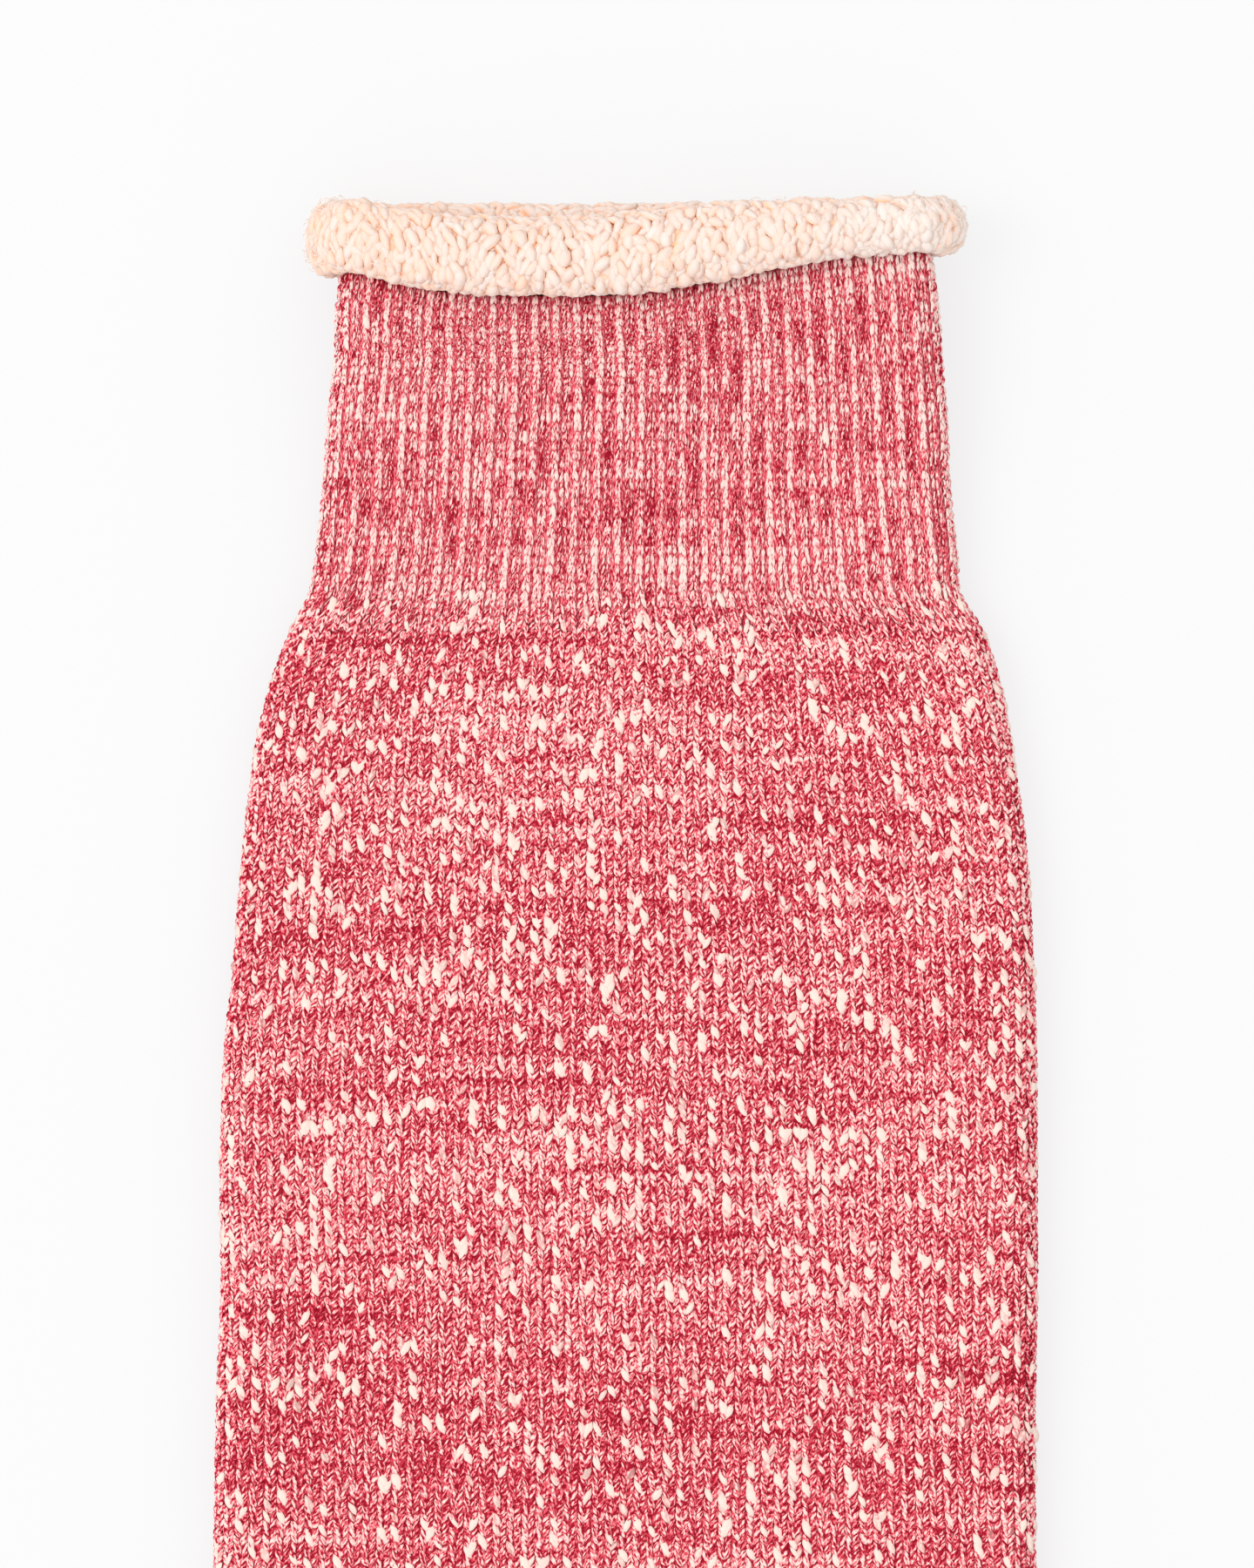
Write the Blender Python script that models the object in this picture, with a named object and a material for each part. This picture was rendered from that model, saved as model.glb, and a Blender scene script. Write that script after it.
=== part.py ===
"""One knitted crew sock laid flat on its side: rolled top, ribbed cuff, leg, heel, foot and toe.

The sock rests on z = 0 with its leg along Y, its top at +Y and its foot towards +X. It is a flattened tube: two
panels of cloth lie on each other and turn into one another at a front fold (+X side) and a back fold (-X side).
Sizes are millimetres, measured from the middle of the top edge, and the meshes are made in metres.
"""

import math
from dataclasses import dataclass
from typing import NamedTuple

import bmesh
import bpy
import numpy as np

MM = 0.001

# Cloth
WALL = 2.6  # plain knit face with its looped lining
GAP = 0.6  # air between the two panels
FLAT = 2 * WALL + GAP  # height of the laid sock away from its folds
FOLD_PLUMP = 0.7  # extra height where the cloth turns at a fold
PLUMP_REACH = 12.0  # how far that extra height runs in from a fold
SEAM = 0.3  # gap between neighbouring pieces

# Ribs
RIBS = 60
RIB_SHAPE = (0.0, 0.0, 1.0, 1.0)  # share of the groove's depth at the four outer points of a rib
GROOVE = 0.45

# Rolled top
ROLL_WALL = 2.0
ROLL_RADIUS = 4.0  # of the cloth's middle where the curl starts
ROLL_TIGHTENING = 2.3  # how much that radius loses in a turn
ROLL_TURN = 400.0  # degrees
ROLL_STEPS = 12
ROLL_COVERS = 0.4  # how far the curl hangs over the seam with the cuff
CURL_TOP = ROLL_RADIUS - ROLL_TIGHTENING * 0.25 + ROLL_WALL / 2  # height of the curl over its middle
CURL_FOOT = ROLL_RADIUS - ROLL_TIGHTENING * 0.75 + ROLL_WALL / 2  # and its depth below it
ROLL_SQUASH_FOLD = 0.81  # the curl's thickness where it turns round a fold, against 1 on the upper panel
ROLL_SQUASH_UNDER = 0.86  # and under the sock
ROLL_SQUASH_RUN = 0.2  # share of a panel over which the thickness changes, at each end
ROLL_LIFT = 4.4  # height of the cuff's underside where the curl lies under it
LIFT_ENDS = 48.0  # depth at which the underside has come down to the surface

# Lengths down the leg
CUFF_TOP = 8.0
CUFF_END = 55.0
LEG_STRAIGHT_END = 176.0
CUFF_DEPTHS = (CUFF_TOP, 14.0, 21.0, 29.0, 38.0, 46.0, 51.0, CUFF_END)
SAG_ENDS = 26.0  # the cuff's rows are level below this depth
LEG_DEPTHS = (CUFF_END + SEAM, 59.0, 63.0, 68.0, 74.0, 82.0, 94.0, 108.0, 124.0, 141.0, 159.0, LEG_STRAIGHT_END)

# Points of a plain ring
PANEL_STEPS = 12
FOLD_STEPS = 5


class Width(NamedTuple):
    """How far the laid sock reaches to each side at one depth below its top."""

    depth: float
    left: float
    right: float


OUTLINE = (
    Width(0.0, -35.7, 38.1),
    Width(8.0, -36.4, 38.8),
    Width(13.2, -37.0, 39.5),
    Width(19.1, -37.1, 40.0),
    Width(28.0, -38.1, 40.8),
    Width(36.9, -38.8, 41.3),
    Width(45.8, -39.8, 42.3),
    Width(50.3, -40.6, 42.7),
    Width(54.7, -42.8, 45.3),
    Width(59.2, -44.6, 47.0),
    Width(63.6, -46.0, 48.1),
    Width(68.1, -47.1, 48.9),
    Width(72.5, -47.8, 49.6),
    Width(81.4, -48.9, 50.9),
    Width(90.3, -49.7, 51.6),
    Width(99.2, -50.4, 52.0),
    Width(108.1, -51.4, 52.3),
    Width(121.4, -51.9, 52.4),
    Width(139.2, -51.9, 52.4),
    Width(152.6, -52.4, 52.2),
    Width(176.0, -52.8, 52.2),
)


class RollEdge(NamedTuple):
    """Upper and lower edge of the curl on the upper panel, as depths, at one place across the sock."""

    across: float
    upper: float
    lower: float


ROLL_EDGES = (
    RollEdge(-35.0, 0.3, 10.1),
    RollEdge(-23.0, 2.0, 12.6),
    RollEdge(-11.0, 2.5, 13.1),
    RollEdge(1.0, 1.8, 12.8),
    RollEdge(13.0, 0.6, 10.9),
    RollEdge(25.0, 0.3, 8.6),
    RollEdge(37.0, 0.0, 7.3),
)


class AnkleRow(NamedTuple):
    """One row of the lower leg: the depth of its middle, then its front fold, middle and back fold in plan."""

    depth: float
    front_x: float
    front_y: float
    mid_x: float
    mid_y: float
    back_x: float
    back_y: float


ANKLE_ROWS = (
    AnkleRow(176.0, 52.2, -176.0, -0.3, -176.0, -52.8, -176.0),
    AnkleRow(190.0, 52.6, -184.3, -0.6, -190.0, -52.6, -188.9),
    AnkleRow(205.0, 54.5, -192.0, -1.0, -205.0, -52.5, -202.0),
)
ANKLE_DEPTHS = (181.0, 186.0, 191.0, 196.0, 200.5, 205.0)
APEX = np.array((-1.0, -205.0))  # where leg, heel and foot meet on each panel

# The foot's own axes in plan, from the apex: towards the toe and towards the instep
FOOT_DROOP = math.radians(28.0)
TOEWARD = np.array((math.cos(FOOT_DROOP), -math.sin(FOOT_DROOP)))
INSTEPWARD = np.array((math.sin(FOOT_DROOP), math.cos(FOOT_DROOP)))


class FootRow(NamedTuple):
    """One row of the foot, in the foot's axes: its middle, its instep fold and its sole fold."""

    mid_along: float
    mid_off: float
    instep_along: float
    instep_off: float
    sole_along: float
    sole_off: float


FOOT_ROWS = (
    FootRow(0.0, 0.0, 42.9, 37.5, 0.0, -61.7),
    FootRow(50.0, -9.5, 68.0, 34.6, 50.0, -60.6),
    FootRow(100.0, -13.7, 102.0, 33.4, 100.0, -59.8),
    FootRow(155.0, -14.5, 155.0, 31.0, 155.0, -60.0),
)
FOOT_ALONGS = (0.0, 6.0, 12.0, 19.0, 27.0, 36.0, 48.0, 62.0, 79.0, 97.0, 116.0, 136.0, 155.0)
FOOT_SHIFT = 0.25  # the foot's first row stands this far from the apex

TOE_LENGTH = 46.0
TOE_ROUNDNESS = 2.3
TOE_TIP_DROP = 4.0  # the tip lies nearer the sole
TOE_SHARES = (0.0, 0.21, 0.4, 0.57, 0.72, 0.84, 0.94, 1.0)
TOE_CAVITY = TOE_LENGTH - WALL - 1.6  # where the inside of the toe ends
TIP_ANGLES = (35.0, 60.0, 80.0)  # rows round the tip's own fold, from the flat panel down


class HeelPoint(NamedTuple):
    """A point of the heel's outer fold in plan, from the back of the leg round to the sole."""

    x: float
    y: float


HEEL_FOLD = (
    HeelPoint(-52.5, -202.0),
    HeelPoint(-56.0, -216.0),
    HeelPoint(-58.0, -230.0),
    HeelPoint(-54.5, -243.5),
    HeelPoint(-45.0, -252.5),
    HeelPoint(-29.9, -259.5),
)
HEEL_FOLD_LENGTH = 70.0
GORE_END = np.array((-41.0, -234.0))
HEEL_ROWS = 12
HEEL_INSET = 0.3  # the heel's first and last rows stand this far from the apex




class Swell(NamedTuple):
    """A place where the upper panel stands up a little, because its cloth is fuller than a flat sheet."""

    x: float
    y: float
    reach: float
    height: float


SWELLS = (
    Swell(2.0, -122.0, 32.0, 0.7),  # calf
    Swell(-37.0, -231.0, 15.0, 1.9),  # heel cup
    Swell(58.0, -246.0, 28.0, 0.9),  # instep
    Swell(148.0, -291.0, 22.0, 1.7),  # toe cup
)


class Crease(NamedTuple):
    """A soft fold of spare cloth at the front of the ankle: where it starts, its bearing, length and height."""

    x: float
    y: float
    bearing: float
    length: float
    height: float


CREASES = (
    Crease(49.0, -184.5, 184.0, 27.0, 0.8),
    Crease(49.5, -192.5, 194.0, 38.0, 1.2),
    Crease(55.0, -200.5, 214.0, 30.0, 1.0),
)
CREASE_WIDTH = 3.2  # from its ridge to where it has nearly gone
FULLNESS_FADE = 9.0  # swells and creases die out this near to a fold


@dataclass(frozen=True)
class Finish:
    """Colour and surface of one kind of cloth."""

    name: str
    colour: tuple
    roughness: float


CREAM_LOOPS = Finish("cream_loops", (0.93, 0.80, 0.68), 0.95)
RED_RIB = Finish("red_marl_rib", (0.62, 0.12, 0.19), 0.9)
RED_PLAIN = Finish("red_marl_plain", (0.66, 0.15, 0.22), 0.9)


def smooth(x, xs, ys):
    """Value at x of a smooth curve through the points (xs, ys)."""
    xs = np.asarray(xs, float)
    ys = np.asarray(ys, float)
    slopes = np.gradient(ys, xs)
    i = int(np.clip(np.searchsorted(xs, x) - 1, 0, len(xs) - 2))
    span = xs[i + 1] - xs[i]
    t = float(np.clip((x - xs[i]) / span, 0.0, 1.0))
    start = (2 * t**3 - 3 * t**2 + 1) * ys[i] + (t**3 - 2 * t**2 + t) * span * slopes[i]
    end = (3 * t**2 - 2 * t**3) * ys[i + 1] + (t**3 - t**2) * span * slopes[i + 1]
    return start + end


def read(table, key, column, x):
    """Value of one column of a table at x, measured along its key column."""
    return smooth(x, [getattr(row, key) for row in table], [getattr(row, column) for row in table])


def ease(t):
    """Goes from 0 to 1 with level ends."""
    t = min(max(t, 0.0), 1.0)
    return t * t * (3 - 2 * t)


def unit(vector):
    return vector / np.linalg.norm(vector)


def fullness(place, edge):
    """How far the upper panel stands over its flat height at a place in plan, this far from the nearer fold."""
    rise = 0.0
    for swell in SWELLS:
        away = math.hypot(place[0] - swell.x, place[1] - swell.y) / swell.reach
        rise += swell.height * math.exp(-(away**2))
    for crease in CREASES:
        bearing = math.radians(crease.bearing)
        x, y = place[0] - crease.x, place[1] - crease.y
        along = x * math.cos(bearing) + y * math.sin(bearing)
        aside = y * math.cos(bearing) - x * math.sin(bearing)
        if 0.0 < along < crease.length:
            fade = math.sin(math.pi * (along / crease.length) ** 0.6)
            rise += crease.height * fade * math.exp(-((aside / CREASE_WIDTH) ** 2))
    return rise * ease(edge / FULLNESS_FADE)


class Stop(NamedTuple):
    """A place on a ring: one of its four stretches, and how far along that stretch."""

    stretch: str
    share: float


@dataclass
class Row:
    """One course of the tube: its front fold, middle and back fold in plan, and how high it lies."""

    front: np.ndarray
    mid: np.ndarray
    back: np.ndarray
    base: float = 0.0
    squash: float = 1.0  # height against the full height, under 1 only at the toe's rounded tip
    sag: float = 0.0  # share of the rolled top's unevenness that the row takes

    def __post_init__(self):
        self.radius = (FLAT + FOLD_PLUMP) / 2 * self.squash
        self.to_front = unit(self.front - self.mid)
        self.to_back = unit(self.back - self.mid)
        self.front_axis = self.front - self.to_front * self.radius
        self.back_axis = self.back - self.to_back * self.radius

    def panel(self, share):
        """Place in plan on a panel, and its distance from the nearer fold's axis."""
        if share <= 0.5:
            place = self.front_axis + (self.mid - self.front_axis) * share * 2
            return place, float(np.linalg.norm(place - self.front_axis))
        place = self.mid + (self.back_axis - self.mid) * (share - 0.5) * 2
        return place, float(np.linalg.norm(place - self.back_axis))

    def at(self, stop, inward=0.0):
        """Point of the cloth at a stop, this far in from its outer surface."""
        middle = self.base + self.radius
        reach = self.radius - inward
        if stop.stretch == "top":
            place, edge = self.panel(stop.share)
            plump = FOLD_PLUMP * math.exp(-((edge / PLUMP_REACH) ** 2))
            height = self.base + (FLAT + plump) * self.squash + fullness(place, edge) - inward
        elif stop.stretch == "bottom":
            place, edge = self.panel(1 - stop.share)
            height = self.base + inward
        elif stop.stretch == "back":
            angle = math.pi * (0.5 - stop.share)
            place = self.back_axis + self.to_back * reach * math.cos(angle)
            height = middle + reach * math.sin(angle)
        else:
            angle = math.pi * (stop.share - 0.5)
            place = self.front_axis + self.to_front * reach * math.cos(angle)
            height = middle + reach * math.sin(angle)
        sag = self.sag * (curl_edges(stop, place[0])[1] - ROLL_COVERS - CUFF_TOP) if self.sag else 0.0
        return np.array((place[0], place[1] - sag, height))

    def even_stops(self, count):
        """Stops at equal steps round the outer surface, from the front end of the upper panel."""
        panel = float(np.linalg.norm(self.front_axis - self.mid) + np.linalg.norm(self.mid - self.back_axis))
        fold = math.pi * self.radius
        lengths = (("top", panel), ("back", fold), ("bottom", panel), ("front", fold))
        total = 2 * (panel + fold)
        stops = []
        for k in range(count):
            walked = total * k / count
            for stretch, length in lengths:
                if walked < length or stretch == "front":
                    stops.append(Stop(stretch, walked / length))
                    break
                walked -= length
        return stops


def curl_edges(stop, across):
    """Upper and lower edge of the curl, as depths, at a stop of the ring under it."""
    left, right = ROLL_EDGES[0], ROLL_EDGES[-1]
    if stop.stretch == "top":
        across = min(max(across, left.across), right.across)
        return read(ROLL_EDGES, "across", "upper", across), read(ROLL_EDGES, "across", "lower", across)
    share = {"back": 0.0, "bottom": stop.share, "front": 1.0}[stop.stretch]
    return left.upper + (right.upper - left.upper) * share, left.lower + (right.lower - left.lower) * share


RING_STOPS = (
    [Stop("top", k / PANEL_STEPS) for k in range(PANEL_STEPS)]
    + [Stop("back", k / FOLD_STEPS) for k in range(FOLD_STEPS)]
    + [Stop("bottom", k / PANEL_STEPS) for k in range(PANEL_STEPS)]
    + [Stop("front", k / FOLD_STEPS) for k in range(FOLD_STEPS)]
)
HALF = PANEL_STEPS // 2
BACK_STOPS = RING_STOPS[HALF : PANEL_STEPS + FOLD_STEPS + HALF + 1]  # from a gore round the back fold


def leg_row(depth, sag=0.0):
    """A level row of the cuff or the upper leg."""
    left = read(OUTLINE, "depth", "left", depth)
    right = read(OUTLINE, "depth", "right", depth)
    lift = ROLL_LIFT * (1 - ease((depth - CUFF_TOP) / (LIFT_ENDS - CUFF_TOP)))
    front = np.array((right, -depth))
    back = np.array((left, -depth))
    return Row(front, (front + back) / 2, back, base=lift, sag=sag)


def ankle_row(depth):
    """A row of the lower leg, which turns towards the ankle."""
    value = {name: read(ANKLE_ROWS, "depth", name, depth) for name in AnkleRow._fields[1:]}
    return Row(
        np.array((value["front_x"], value["front_y"])),
        np.array((value["mid_x"], value["mid_y"])),
        np.array((value["back_x"], value["back_y"])),
    )


def foot_place(along, off):
    """Place in plan of a point given in the foot's axes."""
    return APEX + TOEWARD * along + INSTEPWARD * off


def foot_row(along):
    """A row of the foot."""
    value = {name: read(FOOT_ROWS, "mid_along", name, along) for name in FootRow._fields[1:]}
    return Row(
        foot_place(value["instep_along"], value["instep_off"]),
        foot_place(along, value["mid_off"]),
        foot_place(value["sole_along"], value["sole_off"]),
    )


def toe_row(along, squash=1.0):
    """A row of the toe, this far past the foot's end."""
    end = FOOT_ROWS[-1]
    start = end.mid_along + SEAM
    narrow = max(1 - (along / TOE_LENGTH) ** TOE_ROUNDNESS, 0.0) ** (1 / TOE_ROUNDNESS)
    middle = end.mid_off - TOE_TIP_DROP * (along / TOE_LENGTH) ** 2
    half = (end.instep_off - end.sole_off) / 2 * narrow
    base = (FLAT + FOLD_PLUMP) / 2 * (1 - squash)
    return Row(
        foot_place(start + along, middle + half),
        foot_place(start + along, middle),
        foot_place(start + along, middle - half),
        base=base,
        squash=squash,
    )


def shifted(row, move):
    """The same row moved in plan."""
    return Row(row.front + move, row.mid + move, row.back + move)


def add_ring(bm, points):
    return [bm.verts.new([c * MM for c in point]) for point in points]


def bridge(bm, rings, closed=True):
    """Quads between each ring and the next."""
    for one, two in zip(rings, rings[1:]):
        count = len(one)
        for k in range(count if closed else count - 1):
            n = (k + 1) % count
            bm.faces.new((one[k], one[n], two[n], two[k]))


def close_end(bm, ring):
    """Closes a ring of the plain kind by joining its upper half to its lower half."""
    upper_front = FOLD_STEPS // 2  # points of the front fold that lie above its middle
    turned = ring[-upper_front:] + ring[:-upper_front]
    for k in range(len(turned) // 2 - 1):
        bm.faces.new((turned[k], turned[k + 1], turned[-k - 2], turned[-k - 1]))


def make_object(name, bm, finish, group):
    """Turns a closed bmesh into a named object with its own material."""
    bmesh.ops.recalc_face_normals(bm, faces=bm.faces)
    mesh = bpy.data.meshes.new(name)
    bm.to_mesh(mesh)
    bm.free()
    mesh.shade_smooth()
    material = bpy.data.materials.new(f"{name}_{finish.name}")
    material.use_nodes = True
    surface = material.node_tree.nodes["Principled BSDF"]
    surface.inputs["Base Color"].default_value = (*finish.colour, 1.0)
    surface.inputs["Roughness"].default_value = finish.roughness
    surface.inputs["Metallic"].default_value = 0.0
    mesh.materials.append(material)
    piece = bpy.data.objects.new(name, mesh)
    group.objects.link(piece)
    return piece


def tube(name, rows, finish, group):
    """A stretch of the flattened tube that is open at both ends."""
    bm = bmesh.new()
    outer = [add_ring(bm, [row.at(stop) for stop in RING_STOPS]) for row in rows]
    inner = [add_ring(bm, [row.at(stop, WALL) for stop in RING_STOPS]) for row in rows]
    bridge(bm, outer)
    bridge(bm, inner)
    bridge(bm, (outer[0], inner[0]))
    bridge(bm, (outer[-1], inner[-1]))
    return make_object(name, bm, finish, group)


def rib_cuff(group):
    """The ribbed cuff: ribs on the outer surface, a plain inside."""
    rows = [leg_row(depth, sag=1 - ease((depth - CUFF_TOP) / (SAG_ENDS - CUFF_TOP))) for depth in CUFF_DEPTHS]
    a_rib = len(RIB_SHAPE)
    bm = bmesh.new()
    outer = []
    inner = []
    for row in rows:
        stops = row.even_stops(RIBS * a_rib)
        grooves = [GROOVE * RIB_SHAPE[k % a_rib] for k in range(len(stops))]
        outer.append(add_ring(bm, [row.at(stop, groove) for stop, groove in zip(stops, grooves)]))
        inner.append(add_ring(bm, [row.at(stop, WALL) for stop in stops[::a_rib]]))
    bridge(bm, outer)
    bridge(bm, inner)
    for rim, lining in ((outer[0], inner[0]), (outer[-1], inner[-1])):
        for k in range(RIBS):
            ridge = [rim[(k * a_rib + j) % len(rim)] for j in range(a_rib + 1)]
            bm.faces.new(ridge + [lining[(k + 1) % RIBS], lining[k]])
    return make_object("rib_cuff", bm, RED_RIB, group)


def curl_profile(upper, lower, seam):
    """Closed outline of the curl as (out from the cloth's inner surface, depth)."""
    stretch = (lower - upper) / (CURL_TOP + CURL_FOOT)
    middle = upper + CURL_TOP * stretch
    axis = ROLL_WALL / 2 + ROLL_RADIUS
    start = seam - SEAM

    def side(offset):
        points = []
        for k in range(ROLL_STEPS + 1):
            turn = ROLL_TURN * k / ROLL_STEPS
            radius = ROLL_RADIUS - ROLL_TIGHTENING * turn / 360 + offset
            angle = math.radians(turn)
            points.append((axis - radius * math.cos(angle), middle - stretch * radius * math.sin(angle)))
        return points

    lining = [(0.0, start)] + side(ROLL_WALL / 2)
    face = [(ROLL_WALL, start)] + side(-ROLL_WALL / 2)
    return lining + face[::-1]


def roll_squash(stop):
    """Thickness of the curl at a stop, against its thickness on the middle of the upper panel."""
    if stop.stretch in ("back", "front"):
        return ROLL_SQUASH_FOLD
    full = 1.0 if stop.stretch == "top" else ROLL_SQUASH_UNDER
    from_fold = min(stop.share, 1 - stop.share)
    return ROLL_SQUASH_FOLD + (full - ROLL_SQUASH_FOLD) * ease(from_fold / ROLL_SQUASH_RUN)


def rolled_top(group):
    """The tube's end, curled outwards all round."""
    row = leg_row(CUFF_TOP)
    bm = bmesh.new()
    rings = []
    for stop in RING_STOPS:
        lining = row.at(stop, WALL)
        outward = unit(row.at(stop) - lining)
        upper, lower = curl_edges(stop, lining[0])
        squash = roll_squash(stop)
        points = []
        for out, depth in curl_profile(upper, lower, lower - ROLL_COVERS):
            place = lining + outward * out * squash
            points.append((place[0], -depth, max(place[2], 0.0)))
        rings.append(add_ring(bm, points))
    bridge(bm, rings + rings[:1])
    return make_object("rolled_top", bm, CREAM_LOOPS, group)


def leg(group):
    """The plain leg, from the cuff to the ankle."""
    last = shifted(ankle_row(ANKLE_DEPTHS[-1]), np.array((0.0, SEAM / 2)))
    rows = [leg_row(depth) for depth in LEG_DEPTHS] + [ankle_row(depth) for depth in ANKLE_DEPTHS[:-1]] + [last]
    return tube("leg", rows, RED_PLAIN, group)


def foot(group):
    """The foot, from the ankle to the toe."""
    first = shifted(foot_row(FOOT_ALONGS[0]), TOEWARD * FOOT_SHIFT)
    return tube("foot", [first] + [foot_row(along) for along in FOOT_ALONGS[1:]], RED_PLAIN, group)


def heel(group):
    """The heel: short rows that run from a gore line round the outer fold to the gore line below."""
    shares = np.linspace(0.0, 1.0, len(HEEL_FOLD))
    apex = APEX + HEEL_INSET * unit(GORE_END - APEX)
    trim = SEAM / HEEL_FOLD_LENGTH
    rows = []
    for t in np.linspace(0.0, 1.0, HEEL_ROWS + 1):
        along = trim + t * (1 - 2 * trim)
        fold = np.array([smooth(along, shares, column) for column in zip(*HEEL_FOLD)])
        gore = apex + (GORE_END - apex) * (1 - abs(2 * t - 1))
        rows.append(Row(2 * gore - fold, gore, fold))
    bm = bmesh.new()
    outer = [add_ring(bm, [row.at(stop) for stop in BACK_STOPS]) for row in rows]
    inner = [add_ring(bm, [row.at(stop, WALL) for stop in BACK_STOPS]) for row in rows]
    bridge(bm, outer, closed=False)
    bridge(bm, inner, closed=False)
    bridge(bm, (outer[0], inner[0]), closed=False)
    bridge(bm, (outer[-1], inner[-1]), closed=False)
    bmesh.ops.remove_doubles(bm, verts=bm.verts, dist=0.01 * MM)
    return make_object("heel", bm, RED_PLAIN, group)


def toe(group):
    """The toe: a closed end whose rows shorten to a rounded tip."""
    radius = (FLAT + FOLD_PLUMP) / 2
    flat_end = TOE_LENGTH - radius
    outer_rows = [toe_row(flat_end * share) for share in TOE_SHARES]
    for angle in map(math.radians, TIP_ANGLES):
        outer_rows.append(toe_row(flat_end + radius * math.sin(angle), math.cos(angle)))
    inner_rows = [toe_row(TOE_CAVITY * share) for share in TOE_SHARES]
    bm = bmesh.new()
    outer = [add_ring(bm, [row.at(stop) for stop in RING_STOPS]) for row in outer_rows]
    inner = [add_ring(bm, [row.at(stop, WALL) for stop in RING_STOPS]) for row in inner_rows]
    bridge(bm, outer)
    bridge(bm, inner)
    bridge(bm, (outer[0], inner[0]))
    close_end(bm, outer[-1])
    close_end(bm, inner[-1])
    return make_object("toe", bm, RED_PLAIN, group)


def centre_on_origin(pieces):
    """Moves every piece so that the origin is under the middle of the whole sock's box."""
    corners = np.array([piece.matrix_world @ vertex.co for piece in pieces for vertex in piece.data.vertices])
    middle = (corners.min(axis=0) + corners.max(axis=0)) / 2
    for piece in pieces:
        piece.location = (-middle[0], -middle[1], 0.0)


def main():
    for old in list(bpy.data.objects):
        bpy.data.objects.remove(old)
    group = bpy.data.collections.new("crew_sock")
    bpy.context.scene.collection.children.link(group)
    centre_on_origin([make(group) for make in (rolled_top, rib_cuff, leg, heel, foot, toe)])


main()
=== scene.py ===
"""Looks of one knitted crew sock laid flat: terry curl, ribbed cuff, marled leg, heel, foot and toe.

The sock is a flattened tube. Its form is worked out here from the same sizes as the part's own source, in
millimetres in plan: x across the leg, y against the depth below the top edge, z up. Each stretch of the tube
is mapped by courses, which run round it, and wales, which run down it, and its stitches are laid on that map.
"""

import logging
import math
from dataclasses import dataclass, field, replace
from enum import Enum
from typing import Callable, NamedTuple

import bmesh
import bpy
import numpy as np
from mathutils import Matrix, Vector


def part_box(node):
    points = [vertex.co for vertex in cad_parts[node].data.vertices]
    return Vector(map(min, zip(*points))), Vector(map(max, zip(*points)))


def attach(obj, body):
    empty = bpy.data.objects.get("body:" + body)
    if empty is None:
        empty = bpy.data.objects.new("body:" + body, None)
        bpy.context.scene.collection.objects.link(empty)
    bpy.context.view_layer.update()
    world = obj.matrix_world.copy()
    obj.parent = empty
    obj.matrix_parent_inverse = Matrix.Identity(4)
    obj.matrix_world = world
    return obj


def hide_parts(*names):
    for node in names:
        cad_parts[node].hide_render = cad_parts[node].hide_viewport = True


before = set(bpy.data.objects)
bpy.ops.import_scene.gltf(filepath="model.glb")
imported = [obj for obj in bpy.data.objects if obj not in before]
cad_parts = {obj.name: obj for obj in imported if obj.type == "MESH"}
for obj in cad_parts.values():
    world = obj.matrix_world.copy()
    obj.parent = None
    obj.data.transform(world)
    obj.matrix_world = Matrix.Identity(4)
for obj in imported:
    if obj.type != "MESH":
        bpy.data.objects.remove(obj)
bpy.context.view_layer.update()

log = logging.getLogger("sock")

Array = np.ndarray
Draws = np.random.Generator
Piece = bpy.types.Object
Material = bpy.types.Material

MM = 0.001
TURN = 2 * math.pi
BODY = "root"

# Cloth, as in the part
WALL = 2.6
FLAT = 5.8
FOLD_PLUMP = 0.7
FOLD_RADIUS = (FLAT + FOLD_PLUMP) / 2
PLUMP_REACH = 12.0
SEAM = 0.3
GROOVE = 0.45
CLOSED = 0.02  # half the gap that is left between two stretches here
HALF_WALES = 60  # wales from the middle of the upper panel round one fold to the middle of the lower one

# Lengths down the leg
CUFF_TOP = 8.0
CUFF_END = 55.0
SAG_ENDS = 26.0
LIFT_ENDS = 48.0
ROLL_LIFT = 4.4
LEG_STRAIGHT_END = 176.0
ANKLE_END = 205.0
BACK_AT_LEG_END = -52.8
FRONT_AT_ANKLE_END = 54.5

# How far the sock reaches to each side at depths below its top
OUTLINE_DEPTHS = (
    0.0, 8.0, 13.2, 19.1, 28.0, 36.9, 45.8, 50.3, 54.7, 59.2, 63.6,
    68.1, 72.5, 81.4, 90.3, 99.2, 108.1, 121.4, 139.2, 152.6, 176.0,
)
OUTLINE_LEFT = (
    -35.7, -36.4, -37.0, -37.1, -38.1, -38.8, -39.8, -40.6, -42.8, -44.6, -46.0,
    -47.1, -47.8, -48.9, -49.7, -50.4, -51.4, -51.9, -51.9, -52.4, -52.8,
)
OUTLINE_RIGHT = (
    38.1, 38.8, 39.5, 40.0, 40.8, 41.3, 42.3, 42.7, 45.3, 47.0, 48.1,
    48.9, 49.6, 50.9, 51.6, 52.0, 52.3, 52.4, 52.4, 52.2, 52.2,
)

# Lower leg: rows given by the depth of their middle
ANKLE_DEPTHS = (176.0, 190.0, 205.0)
ANKLE_FRONT = ((52.2, 52.6, 54.5), (-176.0, -184.3, -192.0))
ANKLE_MID = ((-0.3, -0.6, -1.0), (-176.0, -190.0, -205.0))
ANKLE_BACK = ((-52.8, -52.6, -52.5), (-176.0, -188.9, -202.0))
APEX = np.array((-1.0, -205.0))

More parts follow.
